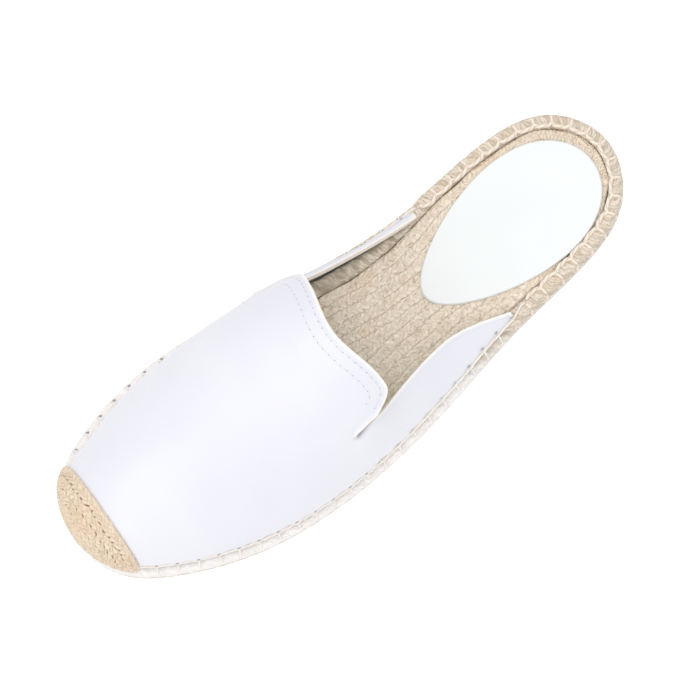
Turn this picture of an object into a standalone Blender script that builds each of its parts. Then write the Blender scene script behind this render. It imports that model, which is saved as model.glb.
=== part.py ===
"""Left espadrille mule: a leather vamp on a stacked jute rope sole, open at the heel.

All sizes are in millimetres: x runs to the toe, y to the outer side of the foot, z up.
"""
import bmesh
import bpy
import numpy as np

MM = 0.001

# Outline of the sole on the floor, one row for each place, clockwise from the heel, and how
# far in from it the leather stands.
OUTLINE = [
    # place                   x       y   leather
    ("heel back",          -126.6,   -2.0,   3.0),
    ("heel outer corner",  -115.4,   20.7,   2.8),
    ("heel outer side",     -92.1,   29.3,   2.2),
    ("waist outer",         -58.2,   33.6,   3.2),
    ("shank outer",         -20.3,   40.8,   3.1),
    ("ball outer",           25.0,   46.1,   2.5),
    ("forefoot outer",       65.2,   43.0,   2.7),
    ("toe outer",            99.9,   30.6,   3.0),
    ("toe outer corner",    119.1,   15.4,   2.5),
    ("toe tip",             123.8,   -3.0,   1.9),
    ("toe inner corner",    117.3,  -21.9,   1.9),
    ("toe inner",            97.2,  -33.6,   4.3),
    ("ball inner",           62.0,  -39.9,   4.3),
    ("joint inner",          25.9,  -36.8,   3.1),
    ("waist inner",         -10.1,  -31.1,   3.3),
    ("arch inner",          -48.0,  -27.9,   3.3),
    ("heel inner side",     -90.0,  -30.2,   2.7),
    ("heel inner corner",  -114.1,  -24.3,   2.8),
]

# Heights of the layers above the floor, before the toe spring.
RUBBER_TOP = 3.0
SEAT_GAP = 0.3
LEDGE = 12.2
SHOULDER = 17.5
RIM_TOP = 18.0
ROPE_ROWS = 2
INSOLE_TOP = 16.6
PAD_THICK = 1.2

# The sole lies flat up to the ball and rises from there to the toe.
SPRING_START = 55.0
SPRING_RISE = 6.0

# Distances in from the outline, square to it.
RUBBER_INSET = 1.2
RUBBER_BEVEL = 0.6
JUTE_TAPER = 0.9
ROPE_GROOVE = 0.6
LEATHER_THICK = 1.6
OPEN_RIM_INSET = 0.6
OPEN_RIM_DEPTH = 5.9
INSOLE_GAP = 0.6
INSOLE_BEVEL = 0.8

# The rim rope's outer face moves out to the edge of the sole below the ends of the wings, and
# its inner face follows more slowly.
RIM_RAMP = (-57.0, -44.0)
RIM_DEPTH_RAMP = (-66.0, -16.0)
RIM_INSIDE_LEATHER = 2.1
RIM_DEPTH_INSIDE_LEATHER = 8.2

# The last: sections across the upper, one row for each place along it.
# crown is the ridge's height above the shoulder, crest its place from the outer side (0) to
# the inner side (1), the powers give the fullness of the two sides.
LAST = [
    # x      crown   crest  outer_power  inner_power  inner_bulge
    (-60.0,  52.0,   0.57,  1.60,        2.30,        0.2),
    (-25.0,  52.0,   0.57,  1.60,        2.30,        0.6),
    (5.0,    50.0,   0.57,  1.60,        2.30,        1.4),
    (20.0,   45.5,   0.57,  1.60,        2.30,        1.5),
    (33.0,   40.6,   0.57,  1.62,        2.30,        1.3),
    (48.0,   35.4,   0.57,  1.68,        2.10,        0.9),
    (70.0,   29.2,   0.56,  1.80,        1.90,        0.4),
    (95.0,   24.0,   0.54,  1.95,        1.75,        0.0),
    (125.0,  20.5,   0.50,  2.00,        1.75,        0.0),
]

# Top edge of the two wings, from the back to the slit: place and height.
WINGS = [
    # x      outer_y  outer_z  inner_y  inner_z
    (-58.0,  29.2,    20.8,    -21.8,   20.3),
    (-51.0,  27.0,    21.7,    -21.6,   21.5),
    (-43.0,  24.9,    23.4,    -21.8,   23.4),
    (-33.0,  23.5,    26.2,    -22.7,   25.2),
    (-20.0,  24.8,    29.2,    -24.2,   26.8),
    (-5.0,   28.3,    33.2,    -26.3,   29.4),
    (8.0,    32.0,    38.0,    -29.5,   32.6),
    (20.6,   33.9,    42.6,    -32.4,   36.4),
]
WING_END = {"outer": -56.0, "inner": -51.0}
WING_BLEND = 20.0
WING_LEAN = 1.5
WING_RISE = 1.25
SLIT_X = 21.4
SLIT_ANGLE = {"outer": 52.0, "inner": 68.0}

# The skirt covers the edge of the sole, and at the back of the wings it draws up on to the rim.
SKIRT_DEPTH = 5.0
SKIRT_SHORT = 0.4
SKIRT_RAMP = (-43.0, -27.0)
SHOULDER_LIFT = 1.1

# Rounding of the toe in side view.
TOE_ROUND_START = 92.0
TOE_FULLNESS = 2.6
TOE_POWER = 1.9

# The tab of the vamp between the slits: its corners, and the double wave of its rear edge.
TAB_SIDES = (33.0, -28.4)
TAB_REAR = 0.7
TAB_SKEW = 1.0
TAB_DIP = 5.8
TAB_WAVE = 0.9
TAB_LOBE = 0.8
TAB_CORNER = {"outer": 8.5, "inner": 5.5}
TAB_CORNER_POWER = 2.6
SLIT_OPENING = 0.8

# The woven toe cap stands proud of the leather.
CAP_REAR = 110.8
CAP_SKEW = 1.1
CAP_CLEAR = 0.3
CAP_THICK = 1.4

# The heel pad, an egg with its narrow end to the toe.
PAD_FRONT = (-34.8, 4.2)
PAD_BACK = (-116.8, -0.6)
PAD_WIDTH = 44.0
PAD_SKEW = 0.26
PAD_BEVEL = 0.7

SIDE_STEPS = 44
SKIRT_ANGLE = 10.0


def smoothstep(low, high, value):
    """0 below low, 1 above high, with an even ramp between them."""
    share = np.clip((value - low) / (high - low), 0.0, 1.0)
    return share * share * (3.0 - 2.0 * share)


def column(table, index, x):
    """Column of a table at x, on a smooth curve through its rows."""
    rows = np.array(table)
    places, values = rows[:, 0], rows[:, index]
    slopes = np.gradient(values, places)
    row = np.clip(np.searchsorted(places, x) - 1, 0, len(places) - 2)
    span = places[row + 1] - places[row]
    share = np.clip((x - places[row]) / span, 0.0, 1.0)
    ease = share * share * (3.0 - 2.0 * share)
    leave = slopes[row] * span * share * (1.0 - share) ** 2
    arrive = slopes[row + 1] * span * share * share * (share - 1.0)
    return values[row] + (values[row + 1] - values[row]) * ease + leave + arrive


def closed_curve(points, steps=60):
    """Dense points on the smooth closed curve through the given points."""
    knots = np.array(points, dtype=float)
    after = np.roll(knots, -1, axis=0)
    chord = np.linalg.norm(after - knots, axis=1)[:, None]
    before = np.roll(chord, 1, axis=0)
    count = len(knots)
    system = np.diag(2.0 * (before + chord)[:, 0])
    for row in range(count):
        system[row, row - 1] += before[row, 0]
        system[row, (row + 1) % count] += chord[row, 0]
    slope = (after - knots) / chord
    bend = np.linalg.solve(system, 6.0 * (slope - np.roll(slope, 1, axis=0)))
    bend_after = np.roll(bend, -1, axis=0)
    pieces = []
    for share in np.arange(steps) / steps:
        rest = 1.0 - share
        straight = rest * knots + share * after
        sag = (rest ** 3 - rest) * bend + (share ** 3 - share) * bend_after
        pieces.append(straight + sag * chord ** 2 / 6.0)
    return np.stack(pieces, axis=1).reshape(-1, 2)


def inset_loop(loop, inset):
    """The loop moved in by inset, square to itself; inset may differ from point to point."""
    along = np.roll(loop, -1, axis=0) - np.roll(loop, 1, axis=0)
    along /= np.linalg.norm(along, axis=1)[:, None]
    inward = np.stack([along[:, 1], -along[:, 0]], axis=1)
    return loop + inward * np.reshape(inset, (-1, 1))


def even_points(path, steps):
    """Points at even distances in plan along an open path, both ends included."""
    length = np.linalg.norm(np.diff(path[:, :2], axis=0), axis=1)
    length = np.concatenate([[0.0], np.cumsum(length)])
    places = np.linspace(0.0, length[-1], steps + 1)
    return np.stack([np.interp(places, length, column) for column in path.T], axis=1)


def eased(values, steps=60):
    """Values at the outline's places, with an even ramp from each to the next."""
    here = np.array(values)[:, None]
    after = np.roll(here, -1, axis=0)
    share = smoothstep(0.0, 1.0, np.arange(steps) / steps)
    return (here + (after - here) * share).ravel()


DENSE = closed_curve([row[1:3] for row in OUTLINE])
LEATHER = eased([row[3] for row in OUTLINE])


def both_sides(loop):
    """The loop's outer and inner sides, each from heel to toe."""
    tip = int(np.argmax(loop[:, 0]))
    heel = int(np.argmin(loop[:, 0]))
    turned = np.roll(loop, -heel, axis=0)
    tip = (tip - heel) % len(loop)
    outer = turned[: tip + 1]
    inner = np.vstack([turned[tip:], turned[:1]])[::-1]
    return outer, inner


def ring_points(inset=0.0):
    """A loop with SIDE_STEPS steps on each side, heel first, then outer side, toe, inner side.

    inset may be a function of x and of the leather's own inset there.
    """
    outer, inner = both_sides(np.column_stack([DENSE, LEATHER]))
    outer = even_points(outer, SIDE_STEPS)
    inner = even_points(inner, SIDE_STEPS)
    loop = np.vstack([outer, inner[-2:0:-1]])
    if callable(inset):
        inset = inset(loop[:, 0], loop[:, 2])
    return inset_loop(loop[:, :2], inset)


def toe_spring(x):
    """Rise of every layer of the sole in front of the ball."""
    ahead = np.maximum(x - SPRING_START, 0.0) / (125.0 - SPRING_START)
    return SPRING_RISE * ahead ** 2


def rim_inset(x, leather):
    """How far in the rim rope's outer face lies: under the leather, or open at the heel."""
    covered = leather + RIM_INSIDE_LEATHER
    return OPEN_RIM_INSET + (covered - OPEN_RIM_INSET) * smoothstep(*RIM_RAMP, x)


def rim_depth(x, leather):
    """How far in the rim rope's inner face lies."""
    covered = leather + RIM_DEPTH_INSIDE_LEATHER
    return OPEN_RIM_DEPTH + (covered - OPEN_RIM_DEPTH) * smoothstep(*RIM_DEPTH_RAMP, x)


def crown_profile(x, tip):
    """Fall of the upper to the feather line at the toe, 1 behind the toe and 0 at the tip."""
    reach = np.clip((x - TOE_ROUND_START) / (tip - TOE_ROUND_START), 0.0, 1.0)
    return (1.0 - reach ** TOE_FULLNESS) ** (1.0 / TOE_POWER)


def feather_sides(lift):
    """Outer and inner feather lines of the upper, grown by lift."""
    return both_sides(inset_loop(DENSE, LEATHER - lift))


def upper_point(x, angle, lift=0.0):
    """Points on the outside of the upper, grown by lift.

    angle is 0 on the ridge, -90 on the outer and 90 on the inner feather line; past 90 it runs
    down the skirt that covers the edge of the sole.
    """
    outer, inner = feather_sides(lift)
    y_outer = np.interp(x, outer[:, 0], outer[:, 1])
    y_inner = np.interp(x, inner[:, 0], inner[:, 1])
    tip = outer[-1, 0]
    crest = y_outer + (y_inner - y_outer) * column(LAST, 2, x)
    turn = np.radians(np.clip(angle, -90.0, 90.0))
    across = np.sin(turn)
    blend = 0.5 + 0.5 * across
    power = column(LAST, 3, x) + (column(LAST, 4, x) - column(LAST, 3, x)) * blend
    fall = crown_profile(x, tip)
    height = column(LAST, 1, x) * fall + lift * np.sqrt(fall)
    rise = np.cos(turn) ** (2.0 / power)
    y = crest + np.where(across < 0.0, (crest - y_outer), (y_inner - crest)) * across
    y = y - column(LAST, 5, x) * np.where(across > 0.0, 4.0 * rise * (1.0 - rise), 0.0)
    drop = np.maximum(np.abs(angle) - 90.0, 0.0) / SKIRT_ANGLE
    covered = smoothstep(*SKIRT_RAMP, x)
    skirt = SKIRT_SHORT + (SKIRT_DEPTH - SKIRT_SHORT) * covered
    z = shoulder_height(x) + height * rise - skirt * drop
    return np.stack([x + 0.0 * angle, y, z], axis=-1)


def shoulder_height(x):
    """Height of the feather line."""
    return SHOULDER + SHOULDER_LIFT * (1.0 - smoothstep(*SKIRT_RAMP, x)) + toe_spring(x)


def wing_row(side, x, level):
    """Points up a wing at x, level from 0 at the feather line to 1 at the top edge.

    The wing leaves the last's surface at the slit and passes into a strip of its own, which
    stands up from the feather line and leans in to the top edge.
    """
    sign, place = (-1.0, 1) if side == "outer" else (1.0, 3)
    last = upper_point(np.full(len(level), x), sign * (90.0 - (90.0 - SLIT_ANGLE[side]) * level))
    strip = last.copy()
    foot = last[np.argmin(level), 1]
    edge_y, edge_z = column(WINGS, place, x), column(WINGS, place + 1, x)
    strip[:, 1] = foot + (edge_y - foot) * level ** WING_LEAN
    if side == "inner":
        strip[:, 1] -= column(LAST, 5, x) * 4.0 * level * (1.0 - level)
    low = shoulder_height(x)
    strip[:, 2] = low + (edge_z - low) * (1.0 - (1.0 - level) ** WING_RISE)
    own = smoothstep(0.0, WING_BLEND, SLIT_X - x)
    return last + (strip - last) * own


def tab_edge(share):
    """Place along x of the tab's rear edge, share from -1 outer corner to 1 inner corner.

    A cosine wave makes its two lobes, on a slight slant, and a power rounds the corners.
    """
    wave = np.cos(np.pi * np.minimum(np.abs(share) / TAB_WAVE, 1.0))
    corner = np.maximum(np.abs(share) - TAB_LOBE, 0.0) / (1.0 - TAB_LOBE)
    size = np.where(share < 0.0, TAB_CORNER["outer"], TAB_CORNER["inner"])
    rear = TAB_REAR - TAB_SKEW * share + TAB_DIP * (0.5 + 0.5 * wave)
    return rear + size * corner ** TAB_CORNER_POWER


def tab_shares():
    """Grid lines across the tab from -1 to 1, closer together at its corners."""
    crowd = np.radians(70.0)
    return np.sin(np.linspace(-crowd, crowd, 21)) / np.sin(crowd)


def forefoot_columns():
    """Angles of the grid lines across the upper in front of the slits: outer, tab, inner."""
    low, high = -SLIT_ANGLE["outer"], SLIT_ANGLE["inner"]
    skirt = 90.0 + SKIRT_ANGLE
    outer = np.concatenate([[-skirt, -90.0 - SKIRT_ANGLE / 2.0], np.linspace(-90.0, low, 9)])
    middle = (low + high) / 2.0 + (high - low) / 2.0 * tab_shares()[1:-1]
    inner = np.concatenate([np.linspace(high, 90.0, 7), [90.0 + SKIRT_ANGLE / 2.0, skirt]])
    return outer, middle, inner


class Sheet:
    """Points and faces of an open surface; grids that share an edge are welded there."""

    def __init__(self):
        self.points = []
        self.faces = []
        self.lookup = {}

    def index(self, point):
        key = tuple(np.round(point, 3))
        if key not in self.lookup:
            self.lookup[key] = len(self.points)
            self.points.append(tuple(point))
        return self.lookup[key]

    def grid(self, points):
        """Add a grid of points, rows by columns, as faces; folded corners drop out."""
        ids = [[self.index(point) for point in row] for row in points]
        for near, far in zip(ids[:-1], ids[1:]):
            for left in range(len(near) - 1):
                ring = [near[left], near[left + 1], far[left + 1], far[left]]
                ring = [corner for step, corner in enumerate(ring) if corner != ring[step - 1]]
                if len(set(ring)) >= 3:
                    self.faces.append(ring)


def make_object(name, points, faces, material):
    """One mesh object from points in millimetres."""
    mesh = bpy.data.meshes.new(name)
    mesh.from_pydata([tuple(np.array(point) * MM) for point in points], [], faces)
    mesh.validate()
    part = bpy.data.objects.new(name, mesh)
    bpy.context.scene.collection.objects.link(part)
    builder = bmesh.new()
    builder.from_mesh(mesh)
    bmesh.ops.recalc_face_normals(builder, faces=builder.faces)
    builder.to_mesh(mesh)
    builder.free()
    mesh.materials.append(material)
    mesh.shade_smooth()
    mesh.set_sharp_from_angle(angle=np.radians(40.0))
    return part


def paint(name, colour, roughness):
    """A plain coloured material."""
    material = bpy.data.materials.new(name)
    material.use_nodes = True
    shader = material.node_tree.nodes["Principled BSDF"]
    shader.inputs["Base Color"].default_value = (*colour, 1.0)
    shader.inputs["Roughness"].default_value = roughness
    shader.inputs["Metallic"].default_value = 0.0
    return material


def raised(loop, z):
    """A loop in plan lifted to height z, with the toe spring."""
    return np.column_stack([loop, z + toe_spring(loop[:, 0])])


def stack(name, levels, material):
    """A solid with one loop for each level, closed across at the bottom and the top."""
    count = len(levels[0])
    points = np.vstack(levels)
    faces = []
    for level in range(len(levels) - 1):
        low = level * count
        high = low + count
        for step in range(count):
            after = (step + 1) % count
            faces.append((low + step, low + after, high + after, high + step))
    top = (len(levels) - 1) * count
    for start in (0, top):
        for step in range(count // 2):
            ring = [step, step + 1, (count - step - 1) % count, (count - step) % count]
            corners = [corner for place, corner in enumerate(ring) if corner != ring[place - 1]]
            faces.append([start + corner for corner in corners])
    return make_object(name, points, faces, material)


def outsole(material):
    """Thin rubber sheet with a rounded lower edge."""
    bottom = raised(ring_points(RUBBER_INSET + RUBBER_BEVEL), 0.0)
    edge = raised(ring_points(RUBBER_INSET), RUBBER_BEVEL)
    top = raised(ring_points(RUBBER_INSET), RUBBER_TOP)
    return stack("outsole", [bottom, edge, top], material)


def jute_sole(material):
    """Two turns of rope stacked under the ledge that the leather comes down to.

    The side tapers down to the rubber with the square of the way from the ledge.
    """
    low = RUBBER_TOP + SEAT_GAP
    rope = (LEDGE - low) / ROPE_ROWS
    levels = []
    for row in range(ROPE_ROWS):
        for share, groove in ((0.0, ROPE_GROOVE), (0.25, 0.0), (0.75, 0.0)):
            down = 1.0 - (row + share) / ROPE_ROWS
            inset = groove + JUTE_TAPER * down ** 2
            levels.append(raised(ring_points(inset), low + (row + share) * rope))
    levels.append(raised(ring_points(ROPE_GROOVE), LEDGE))
    return stack("jute_sole", levels, material)


def rim_rope(material):
    """The top turn of rope, a ring around the insole."""
    low = LEDGE + SEAT_GAP
    profile = [
        # share of the way in, height
        (0.17, low),
        (0.0, low + 1.3),
        (0.0, RIM_TOP - 2.2),
        (0.17, RIM_TOP - 0.5),
        (0.45, RIM_TOP),
        (0.8, RIM_TOP - 0.3),
        (1.0, RIM_TOP - 1.6),
        (1.0, low),
    ]
    rings = []
    for share, height in profile:
        def inset(x, leather, share=share):
            return rim_inset(x, leather) * (1.0 - share) + rim_depth(x, leather) * share
        rings.append(raised(ring_points(inset), height))
    count = len(rings[0])
    faces = []
    for turn in range(len(rings)):
        here = turn * count
        there = (turn + 1) % len(rings) * count
        for step in range(count):
            after = (step + 1) % count
            faces.append((here + step, here + after, there + after, there + step))
    return make_object("rim_rope", np.vstack(rings), faces, material)


def insole(material):
    """The jute footbed inside the rim."""
    def edge(extra):
        return ring_points(lambda x, leather: rim_depth(x, leather) + INSOLE_GAP + extra)
    low = raised(edge(0.0), LEDGE + SEAT_GAP)
    side = raised(edge(0.0), INSOLE_TOP - INSOLE_BEVEL)
    top = raised(edge(INSOLE_BEVEL), INSOLE_TOP)
    return stack("insole", [low, side, top], material)


def heel_pad(material):
    """The egg-shaped sock pad on the insole at the heel."""
    front, back = np.array(PAD_FRONT), np.array(PAD_BACK)
    middle, half = (front + back) / 2.0, (front - back) / 2.0
    length = np.linalg.norm(half)
    along = half / length
    across = np.array([-along[1], along[0]])
    turns = np.radians(np.arange(0, 360, 10) + 180.0)
    low = INSOLE_TOP + SEAT_GAP
    levels = []
    for shrink, height in ((0.0, 0.0), (0.0, 0.7), (PAD_BEVEL, 1.0)):
        reach = (length - shrink) * np.cos(turns)
        width = (PAD_WIDTH / 2.0 - shrink) * np.sin(turns) * (1.0 - PAD_SKEW * np.cos(turns))
        loop = middle + reach[:, None] * along - width[:, None] * across
        levels.append(np.column_stack([loop, np.full(len(loop), low + height * PAD_THICK)]))
    return stack("heel_pad", levels, material)


def solidify(part, thickness):
    """Give an outer surface its wall, inwards."""
    wall = part.modifiers.new("wall", "SOLIDIFY")
    wall.thickness = thickness * MM
    wall.offset = -1.0
    wall.use_rim = True
    return part


def upper(material):
    """The leather upper: forefoot, free tab between the slits, and two wings."""
    sheet = Sheet()
    outer_turns, middle_turns, inner_turns = forefoot_columns()
    turns = np.concatenate([outer_turns, middle_turns, inner_turns])
    tip = feather_sides(0.0)[0][-1, 0]
    rows = tip - (tip - SLIT_X) * np.linspace(1.0, 0.0, 25) ** 2
    sheet.grid([upper_point(np.full(len(turns), x), turns) for x in rows])

    across = np.concatenate([outer_turns[-1:], middle_turns, inner_turns[:1]])
    share = tab_shares()
    rear = tab_edge(share)
    sides = [np.interp(rear, side[:, 0], side[:, 1]) for side in feather_sides(0.0)]
    crest = sides[0] + (sides[1] - sides[0]) * column(LAST, 2, rear)
    reach = np.where(share < 0.0, sides[0] - crest, crest - sides[1])
    edge_y = sum(TAB_SIDES) / 2.0 - (TAB_SIDES[0] - TAB_SIDES[1]) / 2.0 * share
    corner = np.degrees(np.arcsin(np.clip((crest - edge_y) / reach, -0.97, 0.97)))
    tab_rows = []
    for step in np.linspace(0.0, 1.0, 8):
        x = SLIT_X + (rear - SLIT_X) * step
        pinch = SLIT_OPENING * np.sin(np.pi * step) * share ** 3
        tab_rows.append(upper_point(x, across + (corner - across) * step - pinch))
    sheet.grid(tab_rows)

    for side, start in (("outer", outer_turns), ("inner", inner_turns[::-1])):
        level = (90.0 - np.abs(start[2:])) / (90.0 - SLIT_ANGLE[side])
        wing_rows = []
        for x in np.linspace(SLIT_X, WING_END[side], 18):
            skirt = upper_point(np.full(2, x), start[:2])
            wing_rows.append(np.vstack([skirt, wing_row(side, x, level)]))
        sheet.grid(wing_rows)
    part = make_object("upper", sheet.points, sheet.faces, material)
    return solidify(part, LEATHER_THICK)


def toe_cap(material):
    """The woven cap over the front of the upper, on the same last but larger."""
    sheet = Sheet()
    lift = CAP_CLEAR + CAP_THICK
    tip = feather_sides(lift)[0][-1, 0]
    skirt = 90.0 + SKIRT_ANGLE
    turns = np.concatenate([[-skirt], np.linspace(-90.0, 90.0, 31), [skirt]])
    rear = CAP_REAR - CAP_SKEW * np.sin(np.radians(np.clip(turns, -90.0, 90.0)))
    rows = np.linspace(1.0, 0.0, 12) ** 2
    sheet.grid([upper_point(tip - (tip - rear) * share, turns, lift=lift) for share in rows])
    part = make_object("toe_cap", sheet.points, sheet.faces, material)
    return solidify(part, CAP_THICK)


def stand_on_origin(parts):
    """Put the middle of the sole's footprint over the origin."""
    low, high = DENSE.min(axis=0), DENSE.max(axis=0)
    shift = (low + high) / 2.0 * MM
    for part in parts:
        for vertex in part.data.vertices:
            vertex.co.x -= shift[0]
            vertex.co.y -= shift[1]


def main():
    for old in list(bpy.data.objects):
        bpy.data.objects.remove(old, do_unlink=True)
    leather = paint("white leather", (0.86, 0.86, 0.88), 0.45)
    jute = paint("jute", (0.62, 0.47, 0.30), 0.9)
    pale_jute = paint("pale jute", (0.80, 0.74, 0.64), 0.9)
    woven = paint("woven jute", (0.72, 0.50, 0.29), 0.9)
    rubber = paint("cream rubber", (0.80, 0.78, 0.72), 0.6)
    lining = paint("white sock", (0.86, 0.88, 0.88), 0.5)
    parts = [
        outsole(rubber),
        jute_sole(pale_jute),
        rim_rope(jute),
        insole(jute),
        heel_pad(lining),
        upper(leather),
        toe_cap(woven),
    ]
    stand_on_origin(parts)


main()
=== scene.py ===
"""Looks of the left espadrille mule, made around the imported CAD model.

Functions work in millimetres, in the axes of the frame: x to the toe, y to the outer side of
the foot, z up from the floor. Pieces are scaled to metres as they are made.
"""

import bmesh
import bpy
import numpy as np
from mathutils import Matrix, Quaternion, Vector
from mathutils.bvhtree import BVHTree


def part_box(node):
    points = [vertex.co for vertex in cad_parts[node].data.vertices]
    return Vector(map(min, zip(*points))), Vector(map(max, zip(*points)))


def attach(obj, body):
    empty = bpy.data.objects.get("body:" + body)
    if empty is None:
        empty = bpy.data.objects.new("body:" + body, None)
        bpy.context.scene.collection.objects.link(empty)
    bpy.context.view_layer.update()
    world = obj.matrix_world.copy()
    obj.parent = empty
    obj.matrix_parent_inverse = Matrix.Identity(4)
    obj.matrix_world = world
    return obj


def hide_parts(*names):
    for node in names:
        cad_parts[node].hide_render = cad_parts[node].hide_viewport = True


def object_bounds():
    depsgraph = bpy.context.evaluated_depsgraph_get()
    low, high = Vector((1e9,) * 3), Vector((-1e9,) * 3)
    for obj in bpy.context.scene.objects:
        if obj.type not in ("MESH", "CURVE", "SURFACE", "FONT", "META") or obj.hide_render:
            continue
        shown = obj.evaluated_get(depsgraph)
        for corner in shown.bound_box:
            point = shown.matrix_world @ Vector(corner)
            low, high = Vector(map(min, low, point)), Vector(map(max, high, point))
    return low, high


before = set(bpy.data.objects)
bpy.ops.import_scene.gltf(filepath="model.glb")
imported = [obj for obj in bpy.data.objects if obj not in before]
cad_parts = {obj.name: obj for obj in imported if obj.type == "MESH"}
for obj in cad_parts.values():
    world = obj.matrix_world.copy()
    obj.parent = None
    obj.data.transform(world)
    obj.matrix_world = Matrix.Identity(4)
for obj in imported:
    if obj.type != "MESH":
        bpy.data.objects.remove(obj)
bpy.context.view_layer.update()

MM = 0.001
TURN = 2.0 * np.pi

# ---------------------------------------------------------------- shape of the shoe
# These are the values that the CAD solids are worked out from.

OUTLINE = [
    # place                   x       y   leather
    ("heel back",          -126.6,   -2.0,   3.0),
    ("heel outer corner",  -115.4,   20.7,   2.8),
    ("heel outer side",     -92.1,   29.3,   2.2),
    ("waist outer",         -58.2,   33.6,   3.2),
    ("shank outer",         -20.3,   40.8,   3.1),
    ("ball outer",           25.0,   46.1,   2.5),
    ("forefoot outer",       65.2,   43.0,   2.7),
    ("toe outer",            99.9,   30.6,   3.0),
    ("toe outer corner",    119.1,   15.4,   2.5),
    ("toe tip",             123.8,   -3.0,   1.9),
    ("toe inner corner",    117.3,  -21.9,   1.9),
    ("toe inner",            97.2,  -33.6,   4.3),
    ("ball inner",           62.0,  -39.9,   4.3),
    ("joint inner",          25.9,  -36.8,   3.1),
    ("waist inner",         -10.1,  -31.1,   3.3),
    ("arch inner",          -48.0,  -27.9,   3.3),
    ("heel inner side",     -90.0,  -30.2,   2.7),
    ("heel inner corner",  -114.1,  -24.3,   2.8),
]
RUBBER_TOP = 3.0
SEAT_GAP = 0.3
RUBBER_INSET = 1.2
JUTE_TAPER = 0.9
LEDGE = 12.2
SHOULDER = 17.5
RIM_TOP = 18.0
INSOLE_TOP = 16.6
PAD_THICK = 1.2
SPRING_START = 55.0
SPRING_END = 125.0
SPRING_RISE = 6.0
LEATHER_THICK = 1.6
OPEN_RIM_INSET = 0.6
OPEN_RIM_DEPTH = 5.9
RIM_RAMP = (-57.0, -44.0)
RIM_DEPTH_RAMP = (-66.0, -16.0)
RIM_INSIDE_LEATHER = 2.1
RIM_DEPTH_INSIDE_LEATHER = 8.2
LAST = [
    # x      crown   crest  outer_power  inner_power  inner_bulge
    (-60.0,  52.0,   0.57,  1.60,        2.30,        0.2),
    (-25.0,  52.0,   0.57,  1.60,        2.30,        0.6),
    (5.0,    50.0,   0.57,  1.60,        2.30,        1.4),
    (20.0,   45.5,   0.57,  1.60,        2.30,        1.5),
    (33.0,   40.6,   0.57,  1.62,        2.30,        1.3),
    (48.0,   35.4,   0.57,  1.68,        2.10,        0.9),
    (70.0,   29.2,   0.56,  1.80,        1.90,        0.4),
    (95.0,   24.0,   0.54,  1.95,        1.75,        0.0),
    (125.0,  20.5,   0.50,  2.00,        1.75,        0.0),
]
WINGS = [
    # x      outer_y  outer_z  inner_y  inner_z
    (-58.0,  29.2,    20.8,    -21.8,   20.3),
    (-51.0,  27.0,    21.7,    -21.6,   21.5),
    (-43.0,  24.9,    23.4,    -21.8,   23.4),
    (-33.0,  23.5,    26.2,    -22.7,   25.2),
    (-20.0,  24.8,    29.2,    -24.2,   26.8),
    (-5.0,   28.3,    33.2,    -26.3,   29.4),
    (8.0,    32.0,    38.0,    -29.5,   32.6),
    (20.6,   33.9,    42.6,    -32.4,   36.4),
]
WING_END = {"outer": -56.0, "inner": -51.0}
WING_BLEND = 20.0
WING_LEAN = 1.5
WING_RISE = 1.25
SLIT_X = 21.4
SLIT_ANGLE = {"outer": 52.0, "inner": 68.0}
SLIT_OPENING = 0.8
SKIRT_DEPTH = 5.0
SKIRT_SHORT = 0.4
SKIRT_RAMP = (-43.0, -27.0)
SKIRT_ANGLE = 10.0
SHOULDER_LIFT = 1.1
TOE_ROUND_START = 92.0
TOE_FULLNESS = 2.6
TOE_POWER = 1.9
TAB_SIDES = (33.0, -28.4)
TAB_REAR = 0.7
TAB_SKEW = 1.0
TAB_DIP = 5.8
TAB_WAVE = 0.9
TAB_LOBE = 0.8
TAB_CORNER = {"outer": 8.5, "inner": 5.5}
TAB_CORNER_POWER = 2.6
CAP_REAR = 110.8
CAP_SKEW = 1.1
CAP_CLEAR = 0.3
CAP_THICK = 1.4
PAD_FRONT = (-34.8, 4.2)
PAD_BACK = (-116.8, -0.6)
PAD_WIDTH = 44.0
PAD_SKEW = 0.26

# ---------------------------------------------------------------- finish of the pieces

ROPE_ROWS = 2
# Rope: steps round the edge and round itself, yarns, their spacing and their relief.
SIDE_ROPE = ((1060, 26), 5, 2.8, 0.3)
RIM_ROPE = ((1300, 38), 7, 1.8, 0.24)
SIDE_ROPE_HALF_WIDTH = 2.35
SOLE_CORE_INSET = 2.8
# 1 is a round section, and it grows square towards 0.
SIDE_ROPE_ROUNDNESS = 0.9
RIM_ROUNDNESS = 0.55
# Plait: turn from row to row; row, pitch, swing, dip and radius of its strands.
PLAIT_TURN = 0.31
INSOLE_PLAIT = (4.3, 5.8, 1.25, 0.35, 0.86)
CAP_PLAIT = (4.0, 8.7, 1.3, 0.4, 0.95)
INSOLE_CLEAR = 0.25
INSOLE_RELIEF = 0.45
CAP_RELIEF = 0.7
CAP_HOLE_DEPTH = 0.65
CAP_EDGE_BEND = 1.15
CAP_WALL = 0.6
TREAD_PITCH = 5.2
TREAD_DEPTH = 0.7
TREAD_BORDER = (3.4, 4.2)
RUBBER_BEVEL = 0.6
PAD_ROLL = 0.9
PAD_HOLLOW = 0.35
STITCH_SPACING = 8.0
RIM_THREAD_RADIUS = 0.74
LEATHER_THREAD_RADIUS = 0.45
RIM_CROSS_RADIUS = 0.6
LEATHER_CROSS_RADIUS = 0.32
PLY_LENGTH = 3.4
THREAD_RAMP = {"outer": (-66.0, -55.0), "inner": (-59.0, -51.0)}
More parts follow.
